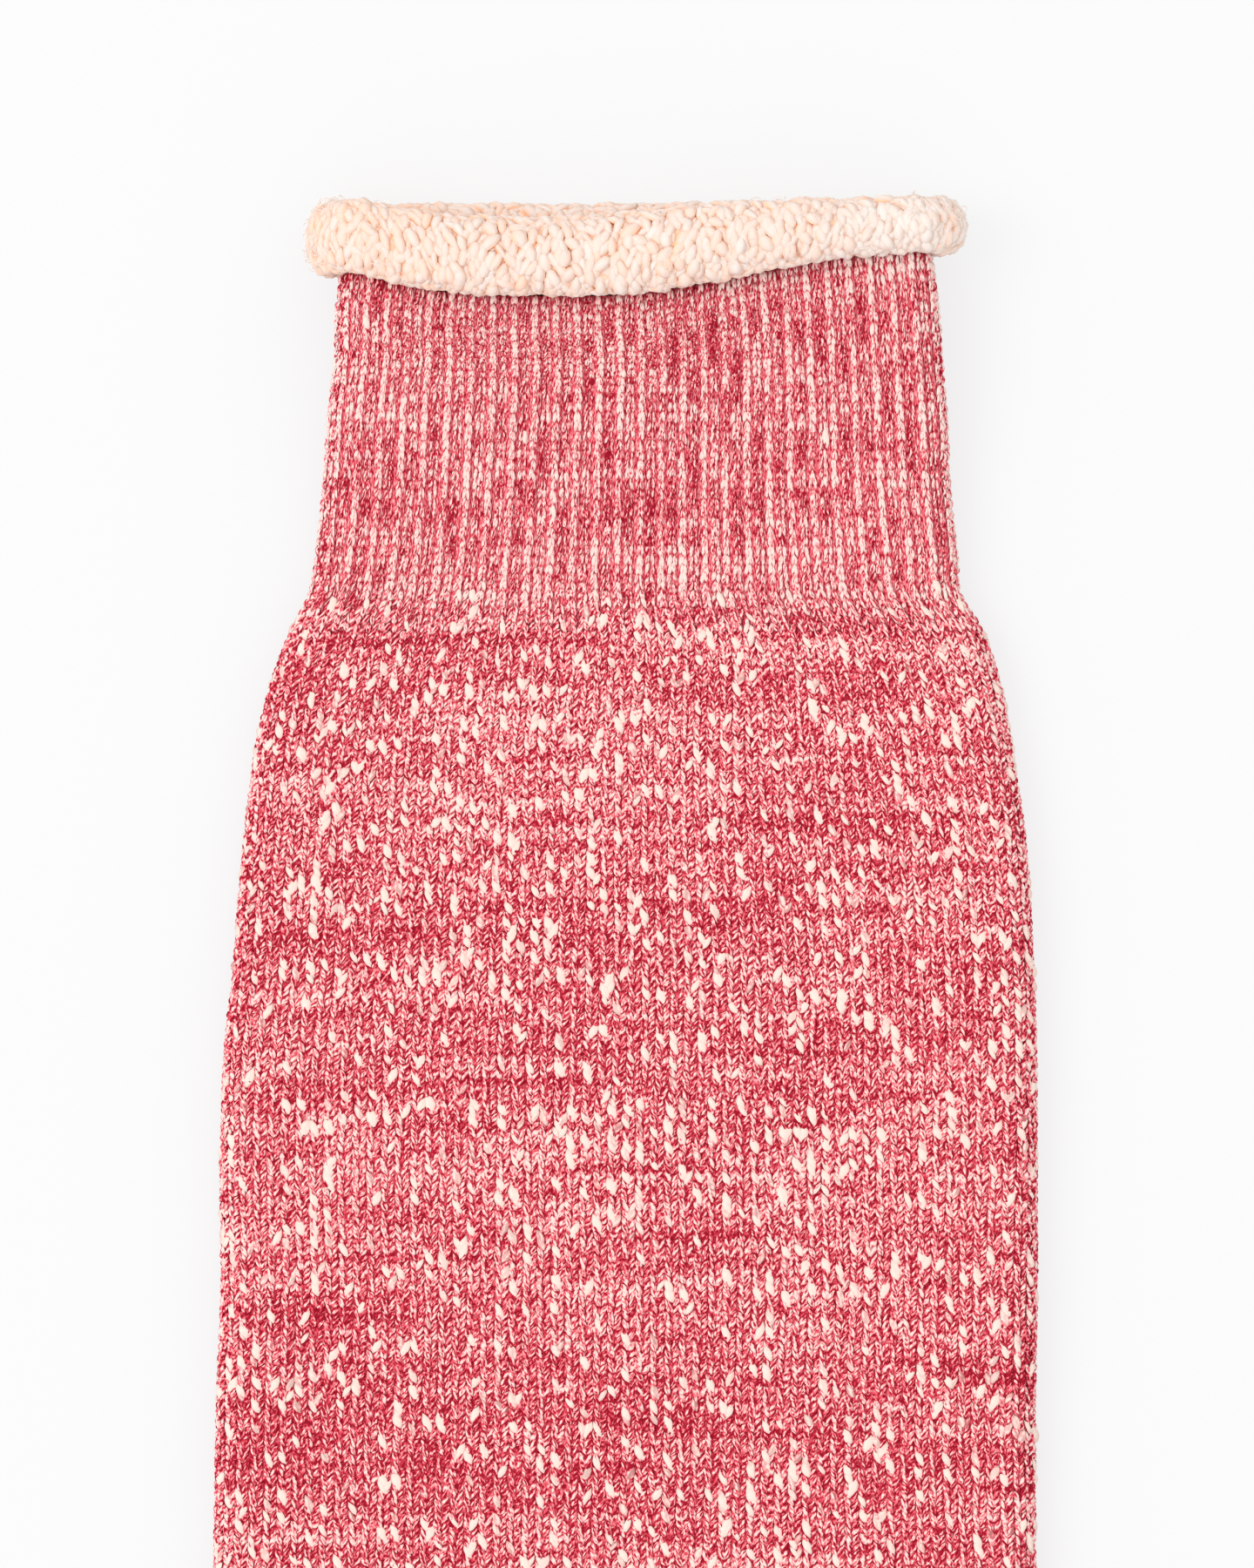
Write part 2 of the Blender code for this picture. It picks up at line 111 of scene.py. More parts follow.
# Foot: axes towards the toe and towards the instep, and rows given by their middle's place along the first
FOOT_DROOP = math.radians(28.0)
TOEWARD = np.array((math.cos(FOOT_DROOP), -math.sin(FOOT_DROOP)))
INSTEPWARD = np.array((math.sin(FOOT_DROOP), math.cos(FOOT_DROOP)))
FOOT_LENGTH = 155.0
FOOT_ALONGS = (0.0, 50.0, 100.0, FOOT_LENGTH)
FOOT_MID_OFF = (0.0, -9.5, -13.7, -14.5)
FOOT_INSTEP = ((42.9, 68.0, 102.0, 155.0), (37.5, 34.6, 33.4, 31.0))
FOOT_SOLE = ((0.0, 50.0, 100.0, 155.0), (-61.7, -60.6, -59.8, -60.0))
TOE_LENGTH = 46.0
TOE_ROUNDNESS = 2.3
TOE_TIP_DROP = 4.0

# Heel: its outer fold and the end of its gore
HEEL_FOLD = ((-52.5, -56.0, -58.0, -54.5, -45.0, -29.9), (-202.0, -216.0, -230.0, -243.5, -252.5, -259.5))
HEEL_FOLD_LENGTH = 70.0
GORE_END = np.array((-41.0, -234.0))

# Curl: its edges on the upper panel as depths, at places across the sock
ROLL_ACROSS = (-35.0, -23.0, -11.0, 1.0, 13.0, 25.0, 37.0)
ROLL_UPPER = (0.3, 2.0, 2.5, 1.8, 0.6, 0.3, 0.0)
ROLL_LOWER = (10.1, 12.6, 13.1, 12.8, 10.9, 8.6, 7.3)
ROLL_COVERS = 0.4
ROLL_WALL = 2.0
ROLL_RADIUS = 4.0
ROLL_TIGHTENING = 2.3
ROLL_TURN = 400.0
ROLL_SQUASH_FOLD = 0.81
ROLL_SQUASH_UNDER = 0.86
ROLL_SQUASH_RUN = 0.2

# Places where the upper panel stands up: x, y, reach and height
SWELLS = (
    (2.0, -122.0, 32.0, 0.7),
    (-37.0, -231.0, 15.0, 1.9),
    (58.0, -246.0, 28.0, 0.9),
    (148.0, -291.0, 22.0, 1.7),
)
# Soft folds at the front of the ankle: x, y, bearing, length and height
CREASES = (
    (49.0, -184.5, 184.0, 27.0, 0.8),
    (49.5, -192.5, 194.0, 38.0, 1.2),
    (55.0, -200.5, 214.0, 30.0, 1.0),
)
CREASE_WIDTH = 3.2
CREASE_FADE = 0.6
FULLNESS_FADE = 9.0

LEG_LOW, LEG_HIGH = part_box("leg")
TO_FRAME = np.array(
    (
        (LEG_LOW.x + LEG_HIGH.x) / 2 / MM - (BACK_AT_LEG_END + FRONT_AT_ANKLE_END) / 2,
        LEG_HIGH.y / MM + CUFF_END + SEAM,
        0.0,
    )
)


def curve(x: Array | float, xs: tuple, ys: tuple) -> Array:
    """Reads a smooth curve through the points (xs, ys).

    Args:
        x: Where to read it.
        xs: Places of the points, rising.
        ys: Their values.

    Returns:
        The values at x.
    """
    xs, ys = np.asarray(xs, float), np.asarray(ys, float)
    slopes = np.gradient(ys, xs)
    i = np.clip(np.searchsorted(xs, x) - 1, 0, len(xs) - 2)
    span = xs[i + 1] - xs[i]
    t = np.clip((x - xs[i]) / span, 0.0, 1.0)
    start = (2 * t**3 - 3 * t**2 + 1) * ys[i] + (t**3 - 2 * t**2 + t) * span * slopes[i]
    return start + (3 * t**2 - 2 * t**3) * ys[i + 1] + (t**3 - t**2) * span * slopes[i + 1]


def ease(t: Array | float) -> Array:
    """Goes from 0 to 1 with level ends."""
    t = np.clip(t, 0.0, 1.0)
    return t * t * (3 - 2 * t)


def unit(vectors: Array) -> Array:
    """Vectors scaled to length 1, along the last axis."""
    return vectors / np.maximum(np.linalg.norm(vectors, axis=-1, keepdims=True), 1e-9)


def pair(columns: tuple, xs: tuple, x: float) -> Array:
    """Reads a point whose two coordinates are curves over xs."""
    return np.array([curve(x, xs, column) for column in columns])


def fullness(places: Array, edge: Array) -> Array:
    """How far the upper panel stands over its flat height.

    Args:
        places: Points in plan, one in a row.
        edge: Their distances from the nearer fold.

    Returns:
        The heights, in millimetres.
    """
    rise = np.zeros(len(places))
    for x, y, reach, height in SWELLS:
        away = np.hypot(places[:, 0] - x, places[:, 1] - y) / reach
        rise += height * np.exp(-(away**2))
    for x, y, bearing, length, height in CREASES:
        dx, dy = places[:, 0] - x, places[:, 1] - y
        cos, sin = math.cos(math.radians(bearing)), math.sin(math.radians(bearing))
        along, aside = dx * cos + dy * sin, dy * cos - dx * sin
        fade = np.sin(math.pi * np.clip(along / length, 0.0, 1.0) ** CREASE_FADE)
        rise += height * fade * np.exp(-((aside / CREASE_WIDTH) ** 2))
    return rise * ease(edge / FULLNESS_FADE)


@dataclass(frozen=True)
class Row:
    """One course of the tube: its front fold, middle and back fold in plan, and how high it lies."""

    front: Array
    mid: Array
    back: Array
    base: float = 0.0
    squash: float = 1.0
    sag: float = 0.0

    @property
    def radius(self) -> float:
        """Outer radius of the cloth at a fold."""
        return FOLD_RADIUS * self.squash

    def arm(self, side: int) -> tuple[Array, float]:
        """Direction from the middle to the front (1) or back (-1) fold, and the way to the fold's axis."""
        way = (self.front if side > 0 else self.back) - self.mid
        return unit(way), np.linalg.norm(way) - self.radius

    def half_girth(self, side: int) -> float:
        """Way from the middle of the upper panel round a fold to the middle of the lower one."""
        return 2 * self.arm(side)[1] + math.pi * self.radius

    def walks(self, wales: Array) -> Array:
        """Distances round the row of these wales, where they share out each half evenly."""
        return wales / HALF_WALES * np.where(wales > 0, self.half_girth(1), self.half_girth(-1))

    def follow(self, walk: Array) -> tuple[Array, ...]:
        """Follows the outer surface round the row.

        Args:
            walk: Distances from the middle of the upper panel, positive to the front.

        Returns:
            For each, the direction of its fold, the way to the fold's axis, the distance walked, how much of
            it is on the lower panel, and the place there as a share of the panel from back to front.
        """
        arms = self.arm(1), self.arm(-1)
        to_front = walk > 0
        direction = np.where(to_front[:, None], arms[0][0], arms[1][0])
        reach = np.where(to_front, arms[0][1], arms[1][1])
        walked = np.minimum(np.abs(walk), 2 * reach + math.pi * self.radius)
        beyond = np.clip(walked - reach - math.pi * self.radius, 0.0, reach)
        share = beyond / (2 * reach)
        return direction, reach, walked, beyond, np.where(to_front, 1 - share, share)

    def surface(self, walk: Array, inward: float = 0.0) -> tuple[Array, Array]:
        """Points of the cloth round the row.

        Args:
            walk: Distances round the outer surface from the middle of the upper panel, positive to the front.
            inward: How far in from the outer surface.

        Returns:
            The points, and the directions out of the cloth there.
        """
        direction, reach, walked, beyond, share = self.follow(walk)
        angle = np.clip((walked - reach) / self.radius, 0.0, math.pi)
        along = np.minimum(walked, reach) - beyond
        out = along + (self.radius - inward) * np.sin(angle)
        places = self.mid + direction * out[:, None]
        edge = np.maximum(reach - along, 0.0)
        plump = FOLD_PLUMP * np.exp(-((edge / PLUMP_REACH) ** 2))
        top = self.base + (FLAT + plump) * self.squash + fullness(places, edge) - inward
        fold = self.base + self.radius + (self.radius - inward) * np.cos(angle)
        height = np.where(walked < reach, top, fold)
        if self.sag:
            lower = curl_edge(ROLL_LOWER, places[:, 0], share, walked < reach)
            places = places - np.outer(self.sag * (lower - ROLL_COVERS - CUFF_TOP), (0.0, 1.0))
        outward = np.column_stack((direction * np.sin(angle)[:, None], np.cos(angle)))
        return np.column_stack((places, height)), outward


def curl_edge(edge: tuple, across: Array, share: Array, on_top: Array) -> Array:
    """Depth of the curl's upper or lower edge round a row.

    Args:
        edge: ROLL_UPPER or ROLL_LOWER.
        across: Places across the sock.
        share: How far from the back to the front of the lower panel each place is.
        on_top: Which places are on the upper panel.

    Returns:
        The depths.
    """
    above = curve(np.clip(across, ROLL_ACROSS[0], ROLL_ACROSS[-1]), ROLL_ACROSS, edge)
    return np.where(on_top, above, edge[0] + (edge[-1] - edge[0]) * share)


def leg_row(depth: float) -> Row:
    """A level row of the cuff or the upper leg.

    Args:
        depth: How far below the top it is.

    Returns:
        The row, lifted and sagging near the curl.
    """
    sides = (OUTLINE_RIGHT, OUTLINE_LEFT)
    front, back = (np.array((curve(depth, OUTLINE_DEPTHS, side), -depth)) for side in sides)
    lift = ROLL_LIFT * (1 - ease((depth - CUFF_TOP) / (LIFT_ENDS - CUFF_TOP)))
    sag = 1 - ease((depth - CUFF_TOP) / (SAG_ENDS - CUFF_TOP))
    return Row(front, (front + back) / 2, back, base=lift, sag=sag)


def ankle_row(depth: float) -> Row:
    """A row of the lower leg, which turns towards the ankle."""
    return Row(*(pair(place, ANKLE_DEPTHS, depth) for place in (ANKLE_FRONT, ANKLE_MID, ANKLE_BACK)))


def lower_row(depth: float) -> Row:
    """A row of the leg, level or turning."""
    return leg_row(depth) if depth <= LEG_STRAIGHT_END else ankle_row(depth)


def foot_place(along: float, off: float) -> Array:
    """Place in plan of a point given in the foot's axes."""
    return APEX + TOEWARD * along + INSTEPWARD * off


def foot_row(along: float) -> Row:
    """A row of the foot."""
    instep, sole = (foot_place(*pair(fold, FOOT_ALONGS, along)) for fold in (FOOT_INSTEP, FOOT_SOLE))
    return Row(instep, foot_place(along, curve(along, FOOT_ALONGS, FOOT_MID_OFF)), sole)


def toe_row(along: float, squash: float = 1.0) -> Row:
    """A row of the toe.

    Args:
        along: How far past the foot's end it is.
        squash: Its height as a share of the full height.

    Returns:
        The row.
    """
    narrow = max(1 - (along / TOE_LENGTH) ** TOE_ROUNDNESS, 1e-6) ** (1 / TOE_ROUNDNESS)
    middle = FOOT_MID_OFF[-1] - TOE_TIP_DROP * (along / TOE_LENGTH) ** 2
    half = (FOOT_INSTEP[1][-1] - FOOT_SOLE[1][-1]) / 2 * narrow
    places = [foot_place(FOOT_LENGTH + SEAM + along, middle + off) for off in (half, 0.0, -half)]
    return Row(*places, base=FOLD_RADIUS * (1 - squash), squash=squash)


def heel_row(along: float) -> Row:
    """A row of the heel, from its gore line to its outer fold. Only its back half is cloth.

    Args:
        along: Its place along the outer fold.

    Returns:
        The row.
    """
    share = along / HEEL_FOLD_LENGTH
    trim = CLOSED / HEEL_FOLD_LENGTH
    fold = pair(HEEL_FOLD, np.linspace(0.0, 1.0, len(HEEL_FOLD[0])), trim + share * (1 - 2 * trim))
    apex = APEX + CLOSED * unit(GORE_END - APEX)
    gore = apex + (GORE_END - apex) * (1 - abs(2 * share - 1))
    return Row(2 * gore - fold, gore, fold)


def blurred_noise(rng: Draws, shape: tuple[int, int], down: float, across: float) -> Array:
    """Random values that change slowly, with mean 0 and deviation 1.

    Args:
        rng: Source of the random values.
        shape: Courses and wales.
        down: Blur along the courses' count.
        across: Blur along the wales' count.

    Returns:
        The field.
    """
    values = rng.standard_normal(shape)
    for axis, width in ((0, down), (1, across)):
        if width > 0:
            reach = math.ceil(3 * width)
            kernel = np.exp(-0.5 * (np.arange(-reach, reach + 1) / width) ** 2)
            pad = [(reach, reach) if a == axis else (0, 0) for a in (0, 1)]
            padded = np.pad(values, pad, mode="wrap" if reach < shape[axis] else "symmetric")
            values = np.apply_along_axis(np.convolve, axis, padded, kernel, "valid")
    return (values - values.mean()) / values.std()


def shades(rng: Draws, tone: Array, slub: Array | float = 0.0) -> Array:
    """What a yarn's finish reads of each piece: tone, share of slub and a random phase, as a colour."""
    full = np.ones(len(tone))
    return np.column_stack((tone, slub * full, rng.random(len(tone)), full))


class Cloth:
    """A stretch of cloth as a grid of points, one row a course, read at any course, wale and height."""

    WALE_STEP = 0.5
    LEAST_WALE = 0.4

    def __init__(self, points: Array, first_wale: float) -> None:
        """Takes the grid in millimetres in plan.

        Args:
            points: Points by course and half wale.
            first_wale: Wale of the first column.
        """
        self.points = points + TO_FRAME
        self.first_wale = first_wale
        self.last_wale = first_wale + (points.shape[1] - 1) * self.WALE_STEP
        self.down = np.gradient(points, axis=0)
        across = np.gradient(points, axis=1) / self.WALE_STEP
        self.normals = unit(np.cross(self.down, across))
        self.course_size = np.linalg.norm(self.down, axis=2)
        self.wale_size = np.maximum(np.linalg.norm(across, axis=2), self.LEAST_WALE)

    def read(self, grid: Array, course: Array, wale: Array) -> Array:
        """Reads one of the cloth's grids between its points.

        Args:
            grid: The grid.
            course: Courses to read it at.
            wale: Wales to read it at.

        Returns:
            Its values there.
        """
        row = np.clip(course, 0.0, len(grid) - 1.001)
        column = np.clip((wale - self.first_wale) / self.WALE_STEP, 0.0, grid.shape[1] - 1.001)
        i, j = row.astype(int), column.astype(int)
        down, across = row - i, column - j
        if grid.ndim == 3:
            down, across = down[..., None], across[..., None]
        upper = grid[i, j] * (1 - across) + grid[i, j + 1] * across
        lower = grid[i + 1, j] * (1 - across) + grid[i + 1, j + 1] * across
        return upper * (1 - down) + lower * down

    def at(self, course: Array, wale: Array, height: Array) -> Array:
        """Places points over the cloth.

        Args:
            course: Their courses, which may run past its ends.
            wale: Their wales.
            height: Their heights over it.

        Returns:
            The points, in millimetres in the frame.
        """
        past = course - np.clip(course, 0.0, len(self.points) - 1.0)
        points, up, down = (self.read(grid, course, wale) for grid in (self.points, self.normals, self.down))
        return points + up * height[..., None] + down * past[..., None]

    def span(self, course: Array, wale: Array, length: Array, angle: Array) -> list[Array]:
        """Courses and wales that yarns of these lengths span, turned by these angles from down the cloth."""
        ways = ((self.course_size, np.cos(angle)), (self.wale_size, np.sin(angle)))
        return [length * way / self.read(size, course, wale) for size, way in ways]


@dataclass(frozen=True)
class YarnShape:
    """A short closed piece of yarn: rings along it with this many sides, pinched at both ends."""

    steps: int
    sides: int
    seam_at: float = 210.0

    def template(self) -> tuple[Array, list[list[int]], Array]:
        """Models one piece of yarn of length 1 and radius 1.

        Returns:
            Its points as (along, aside, up), its faces' corners, and each corner's (along, round).
        """
        bm = bmesh.new()
        uv = bm.loops.layers.uv.new("Yarn")
        bmesh.ops.create_grid(bm, x_segments=self.steps, y_segments=self.sides, size=0.5)
        for face in bm.faces:
            for loop in face.loops:
                loop[uv].uv = (loop.vert.co.x + 0.5, loop.vert.co.y + 0.5)
        for vertex in bm.verts:
            along, turn = vertex.co.x + 0.5, vertex.co.y + 0.5
            angle = math.radians(self.seam_at - 360.0 * turn)
            pinch = 1.0 if 0.01 < along < 0.99 else 0.0
            vertex.co = (along, pinch * math.cos(angle), pinch * math.sin(angle))
        bmesh.ops.remove_doubles(bm, verts=bm.verts, dist=1e-4)
        bmesh.ops.recalc_face_normals(bm, faces=bm.faces)
        points = np.array([vertex.co for vertex in bm.verts])
        faces = [[loop.vert.index for loop in face.loops] for face in bm.faces]
        corners = np.array([loop[uv].uv for face in bm.faces for loop in face.loops])
        bm.free()
        return points, faces, corners


@dataclass
class Yarns:
    """Many short pieces of yarn on a cloth, each an entry in arrays of one length."""

    course: Array
    wale: Array
    down: Array
    across: Array
    low: Array
    high: Array
    half_width: Array
    half_height: Array
    shade: Array
    fullness: float = 0.5
    arching: float = 0.7
    least_height: float = 0.02
    sharp_from: float = math.radians(100.0)
    cell_inset: float = 0.12

    def lay(self, name: str, cloth: Cloth, shape: YarnShape, pressed: float) -> Piece:
        """Makes one mesh of all the pieces.

        Args:
            name: The object's name.
            cloth: What they lie on.
            shape: Form of each piece.
            pressed: How soon the pieces are pressed flat over the floor, in millimetres.

        Returns:
            The object, with its shade attribute and its Yarn and OFBake maps.
        """
        points, faces, corners = shape.template()
        each = len(points)
        along = points[None, :, 0]
        arch = np.sin(math.pi * np.clip(along, 0.0, 1.0))
        swell = arch**self.fullness
        middle = (self.course + self.down / 2, self.wale + self.across / 2)
        course_size, wale_size = (cloth.read(size, *middle) for size in (cloth.course_size, cloth.wale_size))
        heading = unit(np.column_stack((self.down * course_size, self.across * wale_size)))
        aside = points[None, :, 1] * swell * self.half_width[:, None]
        course = self.course[:, None] + self.down[:, None] * along
        course = course - aside * (heading[:, 1] / course_size)[:, None]
        wale = self.wale[:, None] + self.across[:, None] * along
        wale = wale + aside * (heading[:, 0] / wale_size)[:, None]
        height = self.low[:, None] + (self.high - self.low)[:, None] * arch**self.arching
        height = height + points[None, :, 2] * swell * self.half_height[:, None]
        places = cloth.at(course, wale, height).reshape(-1, 3)
        lowest = np.repeat(self.least_height + pressed * self.shade[:, 2], each)
        over = places[:, 2] - lowest
        places[:, 2] = lowest + (over + np.sqrt(over**2 + pressed**2)) / 2
        mesh = self._tiled(name, places * MM, faces, corners)
        shade = mesh.attributes.new("Shade", "FLOAT_COLOR", "POINT")
        shade.data.foreach_set("color", np.repeat(self.shade, each, axis=0).astype(np.float32).ravel())
        return add_object(name, mesh)

    def _tiled(self, name: str, places: Array, faces: list[list[int]], corners: Array) -> bpy.types.Mesh:
        """Joins the pieces into a mesh, with a map along the yarn and one with a cell for each piece.

        Args:
            name: The mesh's name.
            places: Its points, in metres.
            faces: Corners of one piece's faces.
            corners: Those corners' places on the map along the yarn.

        Returns:
            The mesh.
        """
        count = len(self.course)
        copies = np.arange(count)[:, None]
        corner = np.concatenate(faces)
        starts = np.cumsum([0] + [len(face) for face in faces[:-1]])
        mesh = bpy.data.meshes.new(name)
        mesh.vertices.add(len(places))
        mesh.vertices.foreach_set("co", places.astype(np.float32).ravel())
        mesh.loops.add(count * len(corner))
        mesh.loops.foreach_set("vertex_index", (corner + len(places) // count * copies).ravel())
        mesh.polygons.add(count * len(faces))
        mesh.polygons.foreach_set("loop_start", (starts + len(corner) * copies).ravel())
        mesh.update(calc_edges=True)
        mesh.shade_smooth()
        mesh.set_sharp_from_angle(angle=self.sharp_from)
        columns = math.ceil(math.sqrt(count))
        cells = np.column_stack((copies % columns, copies // columns))[:, None, :]
        placed = (cells + self.cell_inset + corners * (1 - 2 * self.cell_inset)) / columns
        for layer, values in (("Yarn", np.tile(corners, (count, 1))), ("OFBake", placed)):
            mesh.uv_layers.new(name=layer).uv.foreach_set("vector", values.astype(np.float32).ravel())
        return mesh


class Value:
    """A number or colour in a material, as the socket that gives it. Operators add nodes that work it out."""

    def __init__(self, shader: "Shader", socket: bpy.types.NodeSocket) -> None:
        """Keeps the socket and the shader that it belongs to."""
        self.shader = shader
        self.socket = socket

    def _math(self, operation: str, *others: "Value | float") -> "Value":
        """Result of a Math node with this value first."""
        return self.shader.node("ShaderNodeMath", {"operation": operation}, dict(enumerate((self, *others))))

    def __add__(self, other: "Value | float") -> "Value":
        """Sum."""
        return self._math("ADD", other)

    __radd__ = __add__

    def __mul__(self, other: "Value | float") -> "Value":
        """Product."""
        return self._math("MULTIPLY", other)

    __rmul__ = __mul__

    def __sub__(self, other: "Value | float") -> "Value":
        """Difference."""
        return self._math("SUBTRACT", other)

    def __rsub__(self, other: float) -> "Value":
        """Difference with this value second."""
        return self * -1.0 + other

    def __pow__(self, power: float) -> "Value":
        """Power."""
        return self._math("POWER", power)

    def wave(self, turns: float = 1.0) -> "Value":
        """Sine of the value, which counts this many turns for each 1."""
        return (self * (TURN * turns))._math("SINE")

    def size(self) -> "Value":
        """Value without its sign."""
        return self._math("ABSOLUTE")

    def part(self) -> "Value":
        """What is left over whole numbers."""
        return self._math("FRACT")

    def whole(self) -> "Value":
        """Whole number below."""
        return self._math("FLOOR")

    def above(self, edge: float) -> "Value":
        """1 where the value is over an edge and 0 elsewhere."""
        return self._math("GREATER_THAN", edge)

    def clamped(self) -> "Value":
        """Value kept from 0 to 1."""
        return self.shader.node("ShaderNodeClamp", {}, {0: self})

    def parts(self) -> tuple["Value", "Value", "Value"]:
        """Three numbers of a vector or colour."""
        split = self.shader.raw("ShaderNodeSeparateXYZ", {}, {0: self})
        return tuple(Value(self.shader, output) for output in split.outputs[:3])


class Shader:
    """A material under construction."""

    def __init__(self, name: str) -> None:
        """Starts an empty material.

        Args:
            name: Its name.
        """
        self.material = bpy.data.materials.new(name)
        self.material.use_nodes = True
        self.tree = self.material.node_tree
        self.tree.nodes.clear()

    def raw(self, kind: str, settings: dict, inputs: dict) -> bpy.types.Node:
        """Adds a node.

        Args:
            kind: The node's type.
            settings: Its own settings, and "stops" for a ramp as (place, colour).
            inputs: Values or links by a socket's name or number.

        Returns:
            The node.
        """
        node = self.tree.nodes.new(kind)
        for key, value in settings.items():
            if key == "stops":
                ramp = node.color_ramp
                while len(ramp.elements) < len(value):
                    ramp.elements.new(0.5)
                for element, (place, colour) in zip(ramp.elements, value):
                    element.position = place
                    element.color = (*colour, 1.0)
            else:
                setattr(node, key, value)
        for key, value in inputs.items():
            socket = node.inputs[key]
            if isinstance(value, Value):
                self.tree.links.new(value.socket, socket)
            elif isinstance(value, tuple) and socket.type == "RGBA":
                socket.default_value = (*value, 1.0)
            else:
                socket.default_value = value
        return node

    def node(self, kind: str, settings: dict, inputs: dict, output: str | int = 0) -> Value:
        """Adds a node and gives one of its outputs."""
        return Value(self, self.raw(kind, settings, inputs).outputs[output])

    def map(self, name: str) -> tuple[Value, Value, Value]:
        """Coordinates of one of the piece's UV maps."""
        return self.node("ShaderNodeUVMap", {"uv_map": name}, {}).parts()

    def attribute(self, name: str, output: str) -> Value:
        """One of the piece's attributes."""
        return self.node("ShaderNodeAttribute", {"attribute_name": name}, {}, output)

    def vector(self, x: Value | float, y: Value | float, z: Value | float) -> Value:
        """Three numbers as a vector."""
        return self.node("ShaderNodeCombineXYZ", {}, {0: x, 1: y, 2: z})

    def noise(self, place: Value, scale: float, detail: float = 2.0) -> Value:
        """Noise with mean 0 and a size of about 1."""
        inputs = {"Vector": place, "Scale": scale, "Detail": detail}
        return (self.node("ShaderNodeTexNoise", {}, inputs, "Fac") - 0.5) * 4.0

    def ramp(self, value: Value, stops: tuple) -> Value:
        """Colour by a value, which is kept from 0 to 1."""
        return self.node("ShaderNodeValToRGB", {"stops": stops}, {0: value.clamped()}, "Color")

    def mix(self, factor: Value, first: Value | tuple, second: Value | tuple) -> Value:
        """Colour between two."""
        return self.node("ShaderNodeMix", {"data_type": "RGBA"}, {0: factor, 6: first, 7: second}, 2)

    def finish(self, settings: dict) -> Material:
        """Ends the material in a Principled node with these inputs."""
        self.raw("ShaderNodeOutputMaterial", {}, {0: self.node("ShaderNodeBsdfPrincipled", {}, settings)})
        return self.material

    def cloth(self, colour: Value, height: Value, depth: float) -> Material:
        """Finishes the material as rough cloth.

        Args:
            colour: Its colour.
            height: Relief from 0 to 1.
            depth: What 1 means, in metres.

        Returns:
            The material.
        """
        bump = self.node("ShaderNodeBump", {}, {"Height": height, "Distance": depth, "Strength": 1.0})
        dull = {"Roughness": 0.95, "Specular IOR Level": 0.04}
        return self.finish({"Base Color": colour, "Normal": bump, **dull})


RED_MARL = (
    (0.0, (0.30, 0.008, 0.022)),
    (0.2, (0.61, 0.045, 0.075)),
    (0.4, (0.725, 0.122, 0.155)),
    (0.6, (0.775, 0.252, 0.272)),
    (0.8, (0.79, 0.425, 0.415)),
    (1.0, (0.795, 0.620, 0.565)),
)
SLUB = ((0.0, (0.76, 0.475, 0.415)), (0.5, (0.77, 0.595, 0.525)), (1.0, (0.78, 0.645, 0.575)))


class Spun:
    """What a yarn's finish starts from: its shade, its map along and round, its plies and its hairs."""

    def __init__(self, shader: Shader, twists: float, plies: float) -> None:
        """Reads the yarn's own map and shade.

        Args:
            shader: The material.
            twists: Turns of the plies along the piece.
            plies: Dark and pale plies round it.
        """
        self.along, self.turn, _ = shader.map("Yarn")
        self.tone, self.slub, self.phase = shader.attribute("Shade", "Vector").parts()
        self.ply = (self.along * twists + self.turn * plies + self.phase).wave()
        hairs = (self.along * 2.0 + self.phase * 31.0, self.turn * 9.0, self.phase * 57.0)
        self.fibre = shader.noise(shader.vector(*hairs), 2.0)
        # How far round from the yarn's top, 0 there and 1 at its lower edges; the finishes paint shade on the
        # sides by it.
        self.flank_shade = (self.turn * 3.0 - 1.0).size()


@dataclass(frozen=True)
class MarlYarn:
    """Two-ply marled yarn: a red ply and a pale one, with thick cream slubs."""

    name: str = "marl_yarn"
    twists: float = 0.6
    plies: float = 1.5
    contrast: float = 0.34
    strand: float = 0.62
    fibre: float = 0.12
    # Painted shade: how much darker each leg is painted at its sides, towards the crevices.
    flank_shade: float = 0.20
    # Painted shade: how much darker the ends of each leg are painted.
    tip: float = 0.55
    relief: float = 0.000025

    def material(self) -> Material:
        """Makes the material.

        Returns:
            The material, which reads the yarn's own map and shade.
        """
        shader = Shader(self.name)
        yarn = Spun(shader, self.twists, self.plies)
        drawn = shader.vector(yarn.along * 3.6 + yarn.phase * 77.0, yarn.turn * 5.0, yarn.phase * 23.0)
        strand = shader.noise(drawn, 1.0, 0.0)
        # Painted shade on each leg's sides, where they dip into the crevices between stitches.
        flank_shade = yarn.flank_shade**2.6
        # Painted shade at each leg's ends, which tuck under the next stitches: dark dots where stitches meet.
        tip = (yarn.along * 2.0 - 1.0).size() ** 5.0
        tone_sum = yarn.tone + yarn.ply * self.contrast + strand * self.strand + yarn.fibre * self.fibre
        marl = shader.ramp(tone_sum - flank_shade * self.flank_shade - tip * self.tip, RED_MARL)
        # Cream slubs, also with painted shade on their sides.
        cream = shader.ramp(yarn.fibre * 0.25 + 0.85 - flank_shade * 0.5, SLUB)
        relief = yarn.ply * 0.35 + yarn.fibre * 0.25 + 0.5
        return shader.cloth(shader.mix(yarn.slub, marl, cream), relief, self.relief)


